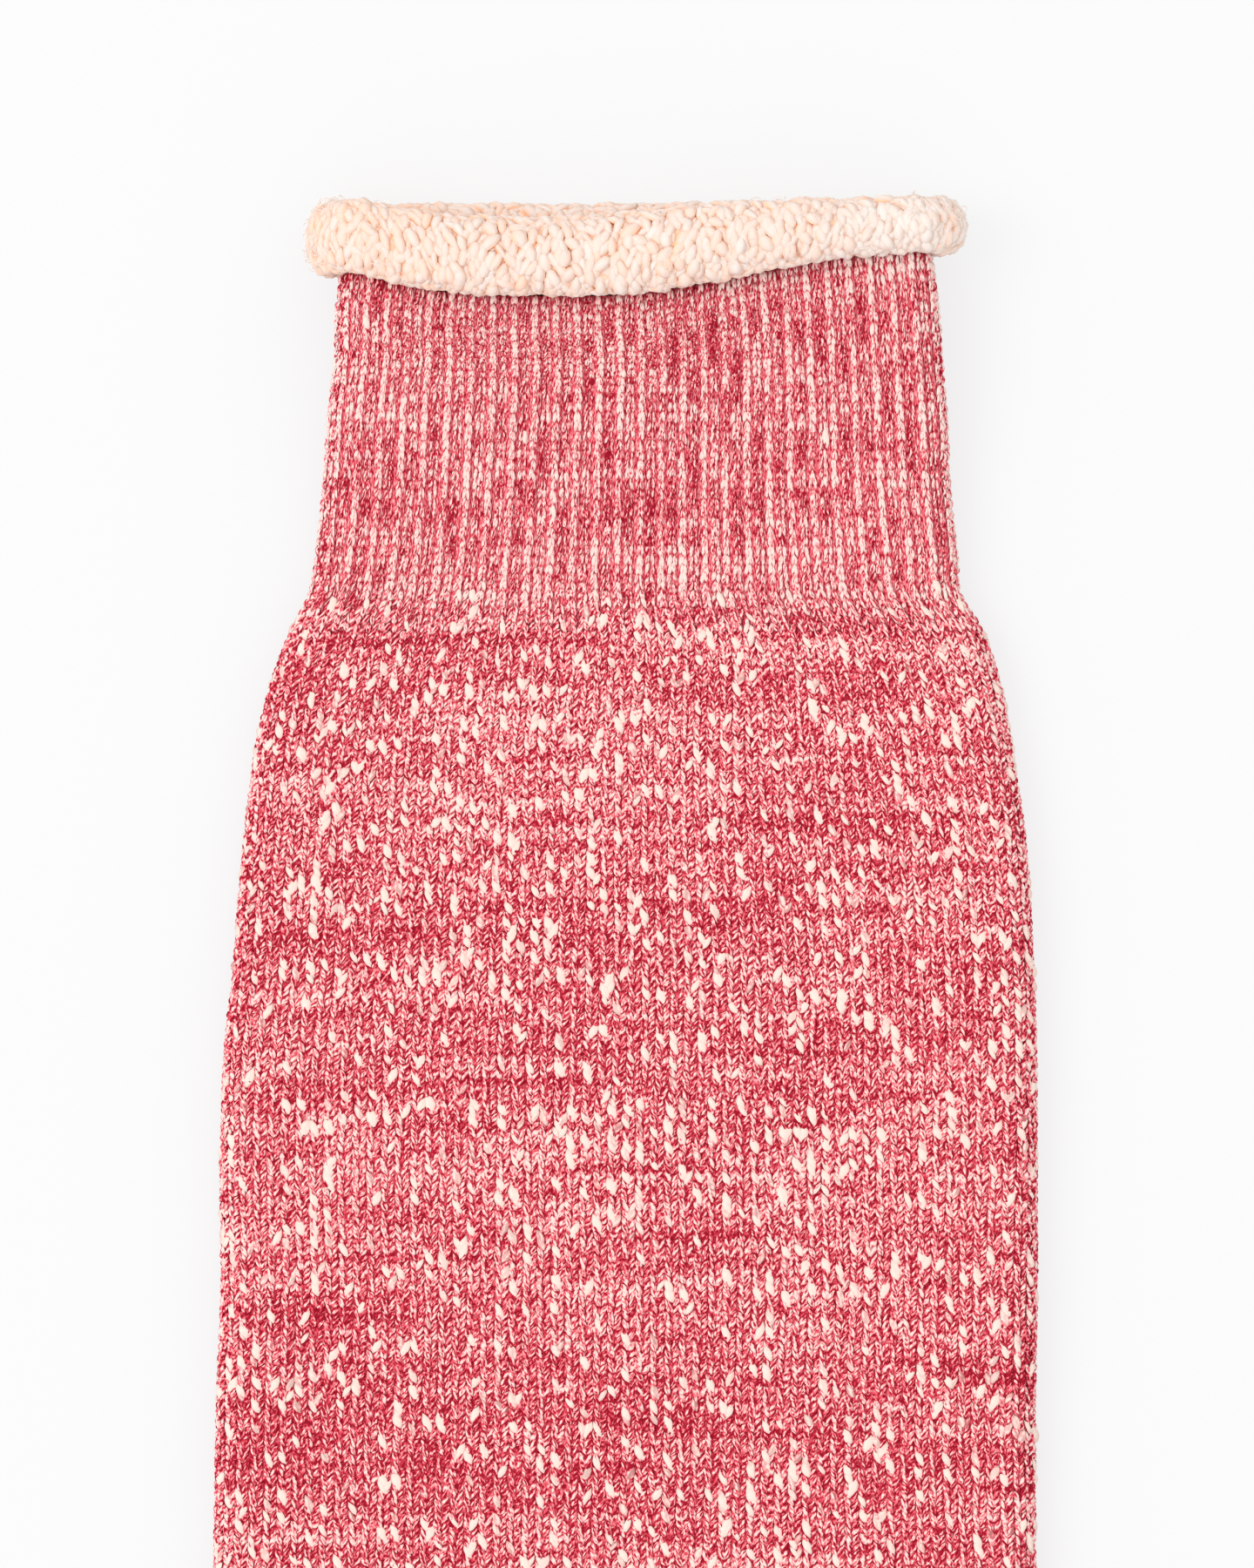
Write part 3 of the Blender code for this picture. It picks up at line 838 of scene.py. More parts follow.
@dataclass(frozen=True)
class TerryYarn:
    """Soft cream yarn of the looped lining."""

    name: str = "terry_yarn"
    twists: float = 1.1
    plies: float = 2.0
    relief: float = 0.00006
    # Colours by tone; the deep orange and tan at the low end are reached by the painted shade on the loops'
    # sides.
    stops: tuple = (
        (0.0, (0.98, 0.57, 0.35)),
        (0.3, (0.79, 0.535, 0.41)),
        (0.7, (0.715, 0.58, 0.51)),
        (1.0, (0.72, 0.64, 0.59)),
    )

    def material(self) -> Material:
        """Makes the material.

        Returns:
            The material, which reads the yarn's own map and shade.
        """
        shader = Shader(self.name)
        yarn = Spun(shader, self.twists, self.plies)
        # Loop tone, less painted shade on each loop's sides (the last term), which turns them tan towards the
        # crevices.
        tone_sum = yarn.tone + yarn.ply * 0.06 + yarn.fibre * 0.08 - (yarn.flank_shade**1.7) * 1.3
        relief = yarn.ply * 0.3 + yarn.fibre * 0.3 + 0.5
        return shader.cloth(shader.ramp(tone_sum, self.stops), relief, self.relief)


@dataclass(frozen=True)
class KnitGround:
    """The cloth under the stitches, and the stitches of the side that lies on the floor."""

    name: str = "knit_ground"
    relief: float = 0.00035
    # Tone of the dark red painted on the cloth between the stitches as shade in the gaps.
    between: float = 0.14
    strands: tuple = (3.6, 1.5, 0.55)
    # Strength of the painted light and shade on the rib's raised and sunk wales.
    ribbed: float = 0.0
    slubs_over: float = 0.955

    def material(self) -> Material:
        """Makes the material.

        Returns:
            The material, which reads the Cloth map, in wales and courses, and the Under attribute.
        """
        shader = Shader(self.name)
        wale, course, _ = shader.map("Cloth")
        under = shader.attribute("Under", "Fac")
        aside = wale.part() - 0.5
        off = aside.size()
        lean = course - off * 3.2
        leg = lean.part().wave(0.5) * off.wave() ** 0.35
        stitch = shader.vector(wale.whole(), lean.whole(), aside.above(0.0))
        own = shader.node("ShaderNodeTexWhiteNoise", {}, {"Vector": stitch}, "Value")
        streak = shader.noise(shader.vector(wale * 0.06, lean.whole() * 0.9, 3.0), 1.0)
        fibre = shader.noise(shader.vector(wale * 3.0, lean * 2.0, off * 4.0), 2.0)
        # Painted light and shade on the rib: sunk wales painted darker and raised ones paler, as this side's
        # ribs are only bump.
        sunk = (wale * 0.5).part().above(0.5) * self.ribbed
        # The leg term paints each leg paler than the gaps between legs, as painted shade in the gaps.
        tone = streak * 0.2 + (own - 0.5) * 0.3 + leg * 0.45 + fibre * 0.12 + 0.12 + self.ribbed * 0.5 - sunk
        slub = own.above(self.slubs_over) * (leg * 1.6).clamped()
        knit = shader.mix(slub, shader.ramp(tone, RED_MARL), SLUB[1][1])
        # The cloth between the real stitches: the yarn's red, painted darker as shade in the gaps.
        strand = shader.noise(shader.vector(wale * self.strands[0], course * self.strands[1], 9.0), 1.0)
        between = shader.ramp(strand * self.strands[2] + self.between, RED_MARL)
        return shader.cloth(shader.mix(under.clamped(), between, knit), leg * under, self.relief)


@dataclass(frozen=True)
class TerryGround:
    """The curled cloth: painted tan between its loops as their shade, deeper orange in its lumps' hollows,
    cream where the loops are left out, and red on its other face.
    """

    name: str = "terry_ground"
    relief: float = 0.0004
    lumps: float = 700.0
    hairs: float = 2600.0
    # Painted shade between the loops, from deep orange in the hollows to tan.
    tan: tuple = ((0.0, (0.95, 0.53, 0.32)), (0.6, (0.83, 0.60, 0.46)))
    bare: tuple = (0.76, 0.62, 0.54)

    def material(self) -> Material:
        """Makes the material.

        Returns:
            The material, which reads Object coordinates and Under: -1 where bare and 1 on the red face.
        """
        shader = Shader(self.name)
        under = shader.attribute("Under", "Fac")
        place = shader.node("ShaderNodeTexCoord", {}, {}, "Object")
        lumps = shader.node("ShaderNodeTexVoronoi", {}, {"Vector": place, "Scale": self.lumps}, "Distance")
        fibre = shader.noise(place, self.hairs)
        # Painted shade between the loops: tan, deeper orange towards the lumps' hollows.
        lining = shader.ramp(0.55 - lumps * 0.7 + fibre * 0.08, self.tan)
        lining = shader.mix((under * -1.0).clamped(), lining, self.bare)
        face = shader.ramp(fibre * 0.12 + 0.42, RED_MARL)
        return shader.cloth(shader.mix(under.clamped(), lining, face), 1.0 - lumps, self.relief)


def add_object(name: str, data: bpy.types.ID) -> Piece:
    """Puts new data into the scene.

    Args:
        name: The object's name.
        data: Its mesh, lamp or camera.

    Returns:
        The object.
    """
    piece = bpy.data.objects.new(name, data)
    bpy.context.scene.collection.objects.link(piece)
    return piece


def from_bmesh(name: str, bm: bmesh.types.BMesh) -> Piece:
    """Makes an object of a bmesh, which is freed.

    Args:
        name: The object's name.
        bm: Its form.

    Returns:
        The object.
    """
    mesh = bpy.data.meshes.new(name)
    bm.to_mesh(mesh)
    bm.free()
    return add_object(name, mesh)


def shell(name: str, rings: list, wales: Array, courses: list, under: list) -> Piece:
    """Bends a grid into a closed wall of cloth, and welds it where it meets itself.

    Args:
        name: The object's name.
        rings: Points in millimetres in plan, by ring and by place on the ring.
        wales: Wale of each place on a ring.
        courses: Course of each ring.
        under: For each point, 1 where it belongs to the side that lies on the floor.

    Returns:
        The object, with its Cloth map and its Under attribute.
    """
    rings = np.array(rings) + TO_FRAME
    rows, columns = rings.shape[:2]
    bm = bmesh.new()
    uv = bm.loops.layers.uv.new("Cloth")
    below = bm.verts.layers.float.new("Under")
    bmesh.ops.create_grid(bm, x_segments=columns - 1, y_segments=rows - 1, size=0.5)
    steps = ((v, (v.co.y + 0.5) * (rows - 1), (v.co.x + 0.5) * (columns - 1)) for v in bm.verts)
    places = {v: (round(row), round(column)) for v, row, column in steps}
    for face in bm.faces:
        for loop in face.loops:
            row, column = places[loop.vert]
            loop[uv].uv = (wales[column], courses[row])
    for vertex, (row, column) in places.items():
        vertex.co = rings[row, column] * MM
        vertex[below] = under[row][column]
    bmesh.ops.remove_doubles(bm, verts=bm.verts, dist=0.002 * MM)
    bmesh.ops.recalc_face_normals(bm, faces=bm.faces)
    piece = from_bmesh(name, bm)
    piece.data.shade_smooth()
    return piece


class Pattern(Enum):
    """How the wales of a stretch are worked."""

    PLAIN = "plain"
    RIB = "rib"


@dataclass
class Finishes:
    """The materials that the pieces share."""

    yarn: Material
    grounds: dict[Pattern, Material]
    terry: Material
    fibre: Material
    terry_ground: Material


def finish_piece(piece: Piece, material: Material) -> Piece:
    """Gives a piece its material and its body.

    Args:
        piece: The piece.
        material: Its material.

    Returns:
        The piece.
    """
    piece.data.materials.clear()
    piece.data.materials.append(material)
    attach(piece, BODY)
    return piece


class Band(NamedTuple):
    """A run of courses whose stitches are one piece, to the stretch's end where no last course is given."""

    name: str
    first: int
    last: int | None
    steps: int


class Knitted(NamedTuple):
    """Stitches as arrays of one length: where they are, their shade, where slubs gather, and their sway."""

    course: Array
    wale: Array
    tone: Array
    clump: Array
    chain: Array
    sway: Array


class Leg(NamedTuple):
    """Proportions of a leg of a stitch: where it starts and its lean, in wales, its length and half width."""

    begin: float
    lean: float
    long: float
    width: float


@dataclass
class Stretch:
    """A knitted stretch of the sock, which stands for one node of the part."""

    node: str
    seed: int
    start: float
    end: float
    row: Callable[[float], Row]
    flat: tuple[float, float]
    bands: tuple[Band, ...]
    course_sizes: tuple[tuple[float, float], ...] = ((0.0, 0.95),)
    slot: str = "red_marl_plain"
    pattern: Pattern = Pattern.PLAIN
    cut_area: float | None = None
    last_wale: float = HALF_WALES
    fold_reach: float = 2.35
    inset: float = 0.24
    skin_every: int = 2
    streaks: tuple = ((0.42, 0.45, 11.0), (0.30, 0.6, 4.0), (0.42, 0.5, 1.8), (0.20, 3.0, 6.0))
    plain_leg: Leg = Leg(begin=0.03, lean=0.43, long=1.55, width=0.41)
    raised_leg: Leg = Leg(begin=0.04, lean=0.17, long=1.34, width=0.30)
    sunk_leg: Leg = Leg(begin=0.14, lean=0.14, long=1.34, width=0.30)
    sunk_wider: float = 0.06
    widest: float = 0.26
    slub_share: float = 0.092
    slub_lean: float = 0.6
    depth: float = -0.24
    rib_depth: float = 0.16
    cloth: Cloth | None = field(default=None, init=False)
    rows: list[Row] = field(default_factory=list, init=False)

    def places(self) -> Array:
        """Works out where the courses lie along the stretch.

        Returns:
            Their places, which end with the stretch.
        """
        places = [self.start]
        while places[-1] < self.end:
            places.append(places[-1] + np.interp(places[-1], *zip(*self.course_sizes)))
        places = np.array(places)
        return self.start + (places - self.start) * (self.end - self.start) / (places[-1] - self.start)

    def make_rows(self) -> list[Row]:
        """The stretch's rows, one a course."""
        return [self.row(place) for place in self.places()]

    def wale_width(self, row: Row, side: int) -> float:
        """Width of a row's wales on the way round its front or back fold."""
        return row.half_girth(side) / HALF_WALES

    def walks(self, row: Row, wales: Array) -> Array:
        """Distances round a row of the stitches' wales."""
        return wales * np.where(wales > 0, self.wale_width(row, 1), self.wale_width(row, -1))

    def extent(self, row: Row) -> tuple[float, float]:
        """Wales to which real stitches go round a row's front and back fold."""
        reach = [row.arm(side)[1] + self.fold_reach * row.radius for side in (1, -1)]
        return tuple(way / self.wale_width(row, side) for way, side in zip(reach, (1, -1)))

    def spread(self) -> None:
        """Works out the stretch's rows and its cloth."""
        self.rows = self.make_rows()
        wales = np.arange(-HALF_WALES, self.last_wale + 0.1, Cloth.WALE_STEP)
        grid = [row.surface(self.walks(row, wales))[0] for row in self.rows]
        self.cloth = Cloth(np.array(grid), -HALF_WALES)

    def skin_wales(self) -> Array:
        """Wales of the skin's columns: closer on the upper panel and at the folds."""
        half = [*range(0, 26, 2), *range(26, 35), *range(36, HALF_WALES + 1, 4)]
        return np.array([-w for w in half[:0:-1]] + half, float)

    def skin_rows(self) -> list[int]:
        """Courses of the skin's rings."""
        return [*range(0, len(self.rows) - 1, self.skin_every), len(self.rows) - 1]

    def relief(self, wales: Array) -> Array:
        """How much deeper than the rest the skin lies at each wale."""
        return np.zeros(len(wales))

    def outside(self, wales: Array) -> tuple[list[Array], list[Array]]:
        """Works out the rings of the skin's outer side.

        Args:
            wales: Wales of its columns.

        Returns:
            The rings, and how much each of their points belongs to the side that lies on the floor.
        """
        rings, under = [], []
        for k in self.skin_rows():
            row = self.rows[k]
            points, outward = row.surface(row.walks(wales))
            share = ease((0.2 - outward[:, 2]) / 1.1)
            depth = self.inset * row.squash * (1 - share) + self.relief(wales)
            rings.append(points - outward * depth[:, None])
            under.append(share)
        return rings, under

    def skin(self) -> Piece:
        """Builds the wall of cloth that the stitches lie on.

        Returns:
            The skin.
        """
        wales = self.skin_wales()
        kept = self.skin_rows()
        outer, under = self.outside(wales)
        inner = [row.surface(row.walks(wales), WALL)[0] for row in (self.rows[k] for k in kept)]
        rings = outer + inner[::-1] + outer[:1]
        courses, below = (values + values[::-1] + values[:1] for values in (kept, under))
        return shell(f"{self.node}_knit", rings, wales, courses, below)

    def stitches(self, band: Band) -> Piece:
        """Lays the real stitches of one band of courses.

        Args:
            band: The run of courses.

        Returns:
            The piece.
        """
        rng = np.random.default_rng(self.seed + band.first)
        courses = np.arange(band.first, band.last or len(self.rows) - 1)
        wales = np.arange(-HALF_WALES, HALF_WALES)
        shape = (len(courses), len(wales))
        tone = sum(weight * blurred_noise(rng, shape, *blur) for weight, *blur in self.streaks)
        clump = blurred_noise(rng, shape, 5.0, 8.0)
        chain = blurred_noise(rng, shape, 1.1, 0.0)
        sway = 0.12 * blurred_noise(rng, shape, 9.0, 5.0)
        course, wale = np.meshgrid(courses.astype(float), wales.astype(float), indexing="ij")
        front, back = np.array([self.extent(self.rows[k]) for k in courses]).T[:, :, None]
        kept = (wale + 0.9 < front) & (wale + 0.1 > -back)
        at = Knitted(*(values[kept] for values in (course, wale, tone, clump, chain, sway)))
        legs = [self.legs(rng, at, side) for side in (1.0, -1.0)]
        yarns = Yarns(**{name: np.concatenate([leg[name] for leg in legs]) for name in legs[0]})
        return yarns.lay(band.name, self.cloth, YarnShape(band.steps, 3), pressed=0.05)

    def legs(self, rng: Draws, at: Knitted, side: float) -> dict[str, Array]:
        """Works out one leg of each stitch.

        Args:
            rng: Source of the random values.
            at: The stitches.
            side: 1 for the leg on the front side of its wale and -1 for the other.

        Returns:
            The fields of Yarns.
        """
        count = len(at.course)
        spread = rng.standard_normal
        wale_size = self.cloth.read(self.cloth.wale_size, at.course, at.wale + 0.5)
        rib = self.ribness(at.course)
        plain = 1 - rib
        raised = at.wale % 2 == 0
        slubbed = spread(count) + 0.10 * at.clump + 0.22 * at.chain
        edge = np.quantile(slubbed, 1 - self.slub_share * (1 + self.slub_lean * side))
        slub = np.clip((slubbed - edge) / 0.35, 0.0, 1.0) ** 0.5
        thick = slub * (0.36 + 0.24 * spread(count))
        shown = rng.random(count) > rib * 0.985
        slub, thick = slub * shown, thick * shown
        ribbed = np.where(raised[:, None], self.raised_leg, self.sunk_leg)
        begin, lean, long, width = np.transpose(self.plain_leg * plain[:, None] + ribbed * rib[:, None])
        lean = lean * (1 + 0.10 * spread(count)) * (1 + 0.45 * slub)
        long = long * (1 + 0.07 * spread(count)) * (1 + 0.16 * slub + 0.8 * thick)
        width = np.minimum(width, self.widest * wale_size) * (1 + 0.12 * spread(count)) * (1 + thick)
        width = width * (1 + self.sunk_wider * rib * (1 - 2 * raised))
        low = self.depth - self.rib_depth * rib * (1 - raised)
        own = (0.09 + 0.10 * rib) * spread(count)
        # Legs on the front side of their wale are a little paler than the others.
        shade = 0.55 + 0.19 * at.tone + own + 0.09 * side * plain
        # On the rib, raised wales are painted paler than the sunk ones: painted light and shade on the ribs.
        shade = shade + rib * (0.10 + raised * 0.34 + 0.16 * at.chain)
        return {
            "course": at.course - 0.2 + 0.13 * spread(count) - 0.35 * slub,
            "wale": at.wale + 0.5 - 0.25 * rib + begin * side + at.sway + 0.05 * spread(count),
            "down": long,
            "across": lean * side,
            "low": low,
            "high": low - self.depth + 0.04 + 0.03 * spread(count) + 0.08 * slub + 0.12 * raised * rib,
            "half_width": width,
            "half_height": width * (0.58 + 0.05 * rib),
            "shade": shades(rng, shade, slub),
        }

    def ribness(self, course: Array) -> Array:
        """How ribbed the knit is at each course, from 0 to 1."""
        return np.zeros(len(course))

    def build(self, finishes: Finishes) -> list[Piece]:
        """Builds the stretch and dresses it.

        Args:
            finishes: The shared materials.

        Returns:
            Its pieces, the skin first.
        """
        self.spread()
        skin = finish_piece(self.skin(), finishes.grounds[self.pattern])
        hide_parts(self.node)
        stitches = [finish_piece(self.stitches(band), finishes.yarn) for band in self.bands]
        return [skin, *stitches]


@dataclass
class RibCuff(Stretch):
    """The ribbed cuff, whose ribs run into the plain knit at its lower end."""

    rib_fades_at: float = 46.0
    groove_share: float = 0.55

    def ribness(self, course: Array) -> Array:
        """How ribbed the knit is at each course, from 0 to 1."""
        depth = np.interp(course, np.arange(len(self.rows)), self.places())
        return 1 - ease((depth - self.rib_fades_at) / (CUFF_END - self.rib_fades_at))

    def skin_wales(self) -> Array:
        """Four columns a rib all round."""
        return np.arange(-HALF_WALES, HALF_WALES + 0.1, 0.5)

    def relief(self, wales: Array) -> Array:
        """Every second wale lies lower."""
        return np.where((wales % 2 > 0.9) & (wales % 2 < 1.9), GROOVE * self.groove_share, 0.0)


@dataclass
class Toe(Stretch):
    """The toe, whose wales keep their width and end at its narrowing edge."""

    fold_reach: float = 2.2
    skin_every: int = 3
    wale_size: float = 1.58
    tip_turn: float = math.radians(88.0)
    tip_rings: int = 5
    tip_wall: float = 1.6
    cavity_rings: int = 9

    def make_rows(self) -> list[Row]:
        """Works out the toe's rows: evenly along the panel, then by angle round the tip's fold.

        Returns:
            The rows.
        """
        flat_end = TOE_LENGTH - FOLD_RADIUS
        size = self.course_sizes[0][1]
        along = np.linspace(0.0, flat_end, round(flat_end / size) + 1)
        turns = np.linspace(0.0, self.tip_turn, round(math.pi / 2 * FOLD_RADIUS / size) + 1)[1:]
        tip = [self.row(flat_end + FOLD_RADIUS * math.sin(turn), math.cos(turn)) for turn in turns]
        return [self.row(place) for place in along] + tip

    def wale_width(self, row: Row, side: int) -> float:
        """Width of a row's wales, which is the same all over the toe."""
        return self.wale_size

    def skin_rows(self) -> list[int]:
        """Courses of the skin's rings, all of the last ones among them."""
        tip = len(self.rows) - self.tip_rings
        return [*range(0, tip, self.skin_every), *range(tip, len(self.rows))]

    def skin(self) -> Piece:
        """Builds the toe's wall, closed at its tip outside and inside.

        Returns:
            The skin.
        """
        wales = self.skin_wales()
        cavity = TOE_LENGTH - WALL - self.tip_wall
        inner = []
        for place in np.linspace(cavity, 0.0, self.cavity_rings):
            row = self.row(place)
            inside = row.surface(row.walks(wales), WALL)[0]
            narrow = math.sqrt(max(1 - (place / cavity) ** 6, 0.0))
            inside[:, 2] = row.radius + (inside[:, 2] - row.radius) * narrow
            inner.append(inside)
        outer, under = self.outside(wales)
        courses = [0] * len(inner) + self.skin_rows()
        return shell("toe_knit", inner + outer, wales, courses, [np.zeros(len(wales))] * len(inner) + under)


@dataclass
class Heel(Stretch):
    """The heel: short rows that run round its outer fold, whose crest is wale -30, between two gore lines."""

    last_wale: float = 8.0
    skin_every: int = 3
    wale_size: float = 1.81

    def walks(self, row: Row, wales: Array) -> Array:
        """Distances round a row of wales that keep their width and end at the gore lines."""
        half = row.half_girth(-1) / 2
        return np.minimum(np.clip((wales + HALF_WALES / 2) * self.wale_size, -half, half) - half, 0.0)

    def extent(self, row: Row) -> tuple[float, float]:
        """Wales between which a row has real stitches."""
        reach = row.half_girth(-1) / 2 / self.wale_size - HALF_WALES / 2
        return reach + 0.6, HALF_WALES / 2 + 0.8 * row.radius / self.wale_size

    def skin_wales(self) -> Array:
        """Wales of the skin's columns, closer round the fold."""
        runs = ((0.0, 0.42, 12), (0.45, 0.55, 6), (0.58, 1.0, 12))
        return np.concatenate([np.linspace(*run) for run in runs]) * -HALF_WALES

    def skin_rows(self) -> list[int]:
        """Picks the courses of the skin's rings, the same from both gore lines.

        Returns:
            The courses.
        """
        kept = super().skin_rows()
        kept = kept[: len(kept) // 2]
        return kept + [len(self.rows) - 1 - k for k in kept[::-1]]


@dataclass
class RolledTop:
    """The tube's end, curled outwards so that its looped lining shows."""

    node: str = "rolled_top"
    slot: str = "cream_loops"
    seed: int = 5
    flat: tuple[float, float] = (0.165, 0.026)
    rim: Row = replace(leg_row(CUFF_TOP), sag=0.0)
    ground_inset: float = 0.62
    columns: int = 150
    profile_steps: int = 26
    bare_to: float = 12.0
    face_from: float = 300.0
    loops_from: float = -4.0
    loops_to: float = 324.0
    turn_step: float = 4.0
    girth: float = 184.0
    column_width: float = 0.6
    loop_inset: float = 0.35
    loop_pitch_round: float = 1.16
    loop_pitch_turn: float = 13.5
    loop_ends: float = 3.0
    loop_length: tuple[float, float] = (3.8, 0.45)
    loop_half_width: tuple[float, float] = (0.77, 0.13)
    loop_flatness: float = 0.60
    loop_fullness: float = 0.74
    loop_lean: float = 0.44
    loop_tone: tuple[float, float] = (0.76, 0.10)
    loop_foot: float = -0.48
    loop_high: tuple[float, float] = (-0.22, 0.20)
    edge_turn: float = 80.0
    edge_reach: float = 45.0
    # Painted light and shade at the curl's ends: how far out from the middle it starts, in millimetres, and
    # over what run.
    end_shading_from: float = 18.0
    end_shading_run: float = 16.0
    pressed: float = 0.3
    fibres: int = 200
    fibre_tone: float = 2.3

    def walks(self, count: int) -> Array:
        """Shares out the top row evenly on the curl's outside.

        Args:
            count: How many steps it is cut into.

        Returns:
            Distances round the row, from one middle of the lower panel to the other.
        """
        fine = np.linspace(-self.rim.half_girth(-1), self.rim.half_girth(1), 1200)
        points = self.section(fine, [180.0], 0.0)[0]
        length = np.concatenate(([0.0], np.cumsum(np.linalg.norm(np.diff(points, axis=0), axis=1))))
        return np.interp(np.linspace(0.0, length[-1], count + 1), length, fine)

    def radius(self, turn: float) -> float:
        """Radius of the curl's outer surface, this many degrees round it."""
        return ROLL_RADIUS - ROLL_TIGHTENING * turn / 360 + ROLL_WALL / 2

    def section(self, walks: Array, turns: Array | list[float], offset: float) -> Array:
        """Points of the curl.

        Args:
            walks: Distances round the top row.
            turns: Degrees round the curl, from the lining at the top edge outwards and down.
            offset: How far out of the curl's outer surface.

        Returns:
            Points by turn and by walk.
        """
        lining, outward = self.rim.surface(walks, WALL)
        _, reach, walked, beyond, share = self.rim.follow(walks)
        on_top = walked < reach
        upper, lower = (curl_edge(edge, lining[:, 0], share, on_top) for edge in (ROLL_UPPER, ROLL_LOWER))
        from_fold = np.where(on_top, reach - walked, beyond) / (2 * reach)
        full = np.where(on_top, 1.0, ROLL_SQUASH_UNDER)
        squash = ROLL_SQUASH_FOLD + (full - ROLL_SQUASH_FOLD) * ease(from_fold / ROLL_SQUASH_RUN)
        stretch = (lower - upper) / (self.radius(90) + self.radius(270))
        middle = upper + self.radius(90) * stretch
        grid = []
        for turn in turns:
            radius, angle = self.radius(turn) + offset, math.radians(turn)
            out = (ROLL_WALL / 2 + ROLL_RADIUS - radius * math.cos(angle)) * squash
            points = lining + outward * out[:, None]
            points[:, 1] = stretch * radius * math.sin(angle) - middle
            points[:, 2] = np.maximum(points[:, 2], -offset)
            grid.append(points)
        return np.array(grid)

    def ground(self) -> Piece:
        """Builds the curled cloth, a spiral wall all round the top.

        Returns:
            The piece, whose Under is -1 where the cloth is bare and 1 on its other face.
        """
        walks = self.walks(self.columns)
        turns = np.linspace(0.0, ROLL_TURN, self.profile_steps)
        lining = self.section(walks, turns, -self.ground_inset)
        face = self.section(walks, turns[::-1], -ROLL_WALL)
        inside, outside = (self.rim.surface(walks, inward)[0] for inward in (WALL, WALL - ROLL_WALL))
        inside[:, 1] = outside[:, 1] = self.section(walks, [270.0], 0.0)[0][:, 1] + ROLL_COVERS + SEAM
        rings = [inside, *lining, *face, outside, inside]
        side = np.where(turns > self.face_from, 1.0, np.where(turns < self.bare_to, -1.0, 0.0))
        side = np.concatenate(([-1.0], side, np.ones(len(turns) + 1), [-1.0]))
        under = np.repeat(side[:, None], len(walks), axis=1)
        return shell("curl_cloth", rings, walks, range(len(rings)), under)

    def looped_face(self) -> Cloth:
        """Makes the curl's looped face. Its courses follow round the curl, and its wales go round the tube.

        Returns:
            The face.
        """
        walks = self.walks(int(self.girth / self.column_width))
        turns = np.arange(self.loops_from, self.loops_to, self.turn_step)
        return Cloth(self.section(walks, turns, -self.loop_inset), 0.0)

    def loops(self, cloth: Cloth) -> Piece:
        """Stands the terry loops on the curl, most of them lying over at its top edge.

        Args:
            cloth: The looped face.

        Returns:
            The loops.
        """
        rng = np.random.default_rng(self.seed)
        step_turn = self.loop_pitch_turn / self.turn_step
        step_round = cloth.last_wale / (self.girth / self.loop_pitch_round)
        rows = np.arange(self.loop_ends, len(cloth.points) - self.loop_ends, step_turn)
        course, wale = np.meshgrid(rows, np.arange(0.0, cloth.last_wale, step_round), indexing="ij")
        wale = wale + step_round * 0.5 * (np.arange(len(rows)) % 2)[:, None]
        count = course.size
        course = course.ravel() + rng.normal(0.0, 0.20 * step_turn, count)
        wale = wale.ravel() + rng.normal(0.0, 0.16 * step_round, count)
        from_edge = (self.loops_from + course * self.turn_step - self.edge_turn) / self.edge_reach
        way = rng.normal(1.0, 0.35, count) * rng.choice((-1.0, 1.0), count, p=(0.25, 0.75))
        angle = rng.normal(0.0, self.loop_lean, count) + np.exp(-(from_edge**2)) * way
        length = rng.normal(*self.loop_length, count)
        half_width = rng.normal(*self.loop_half_width, count)
        down, side = cloth.span(course, wale, length, angle)
        right = cloth.at(course, wale, np.zeros(count))[:, 0] - TO_FRAME[0]
        # Painted light and shade: loops are painted paler towards the curl's right end and darker towards its
        # left end, which the lamp at the left lights.
        paler, darker = (ease((way - self.end_shading_from) / self.end_shading_run) for way in (right, -right))
        shade = shades(rng, rng.normal(*self.loop_tone, count) + 0.16 * paler - 0.12 * darker)
        foot = np.full(count, self.loop_foot)
        high = np.clip(rng.normal(*self.loop_high, count), -0.7, 0.08)
        sizes = (foot, high, half_width, half_width * self.loop_flatness)
        yarns = Yarns(course - down / 2, wale - side / 2, down, side, *sizes, shade, self.loop_fullness)
        return yarns.lay("terry_loops", cloth, YarnShape(4, 6), self.pressed)

    def fuzz(self, cloth: Cloth) -> Piece:
        """Lets single fibres stand off the curl, most of them at its left end.

        Args:
            cloth: The looped face.

        Returns:
            The fibres.
        """
        rng = np.random.default_rng(self.seed + 1)
        count = self.fibres
        left = rng.random(count) < 0.45
        share = np.where(left, rng.normal(0.25, 0.022, count), rng.uniform(0.24, 0.76, count))
        wale = share * cloth.last_wale
        course = rng.uniform(12.0, 56.0, count)
        angle = rng.uniform(0.0, TURN, count)
        down, side = cloth.span(course, wale, rng.uniform(1.6, 3.4, count), angle)
        thin = rng.uniform(0.03, 0.05, count)
        shade = shades(rng, np.full(count, self.fibre_tone))
        high = rng.uniform(0.5, 1.0, count)
        fibres = Yarns(course, wale, down, side, np.full(count, 0.1), high, thin, thin, shade)
        return fibres.lay("terry_fuzz", cloth, YarnShape(4, 3), self.pressed)

    def build(self, finishes: Finishes) -> list[Piece]:
        """Builds the curl and dresses it.

        Args:
            finishes: The shared materials.

        Returns:
            Its pieces, the curled cloth first.
        """
        ground = finish_piece(self.ground(), finishes.terry_ground)
        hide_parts(self.node)
        cloth = self.looped_face()
        loops = finish_piece(self.loops(cloth), finishes.terry)
        fuzz = finish_piece(self.fuzz(cloth), finishes.fibre)
        return [ground, loops, fuzz]


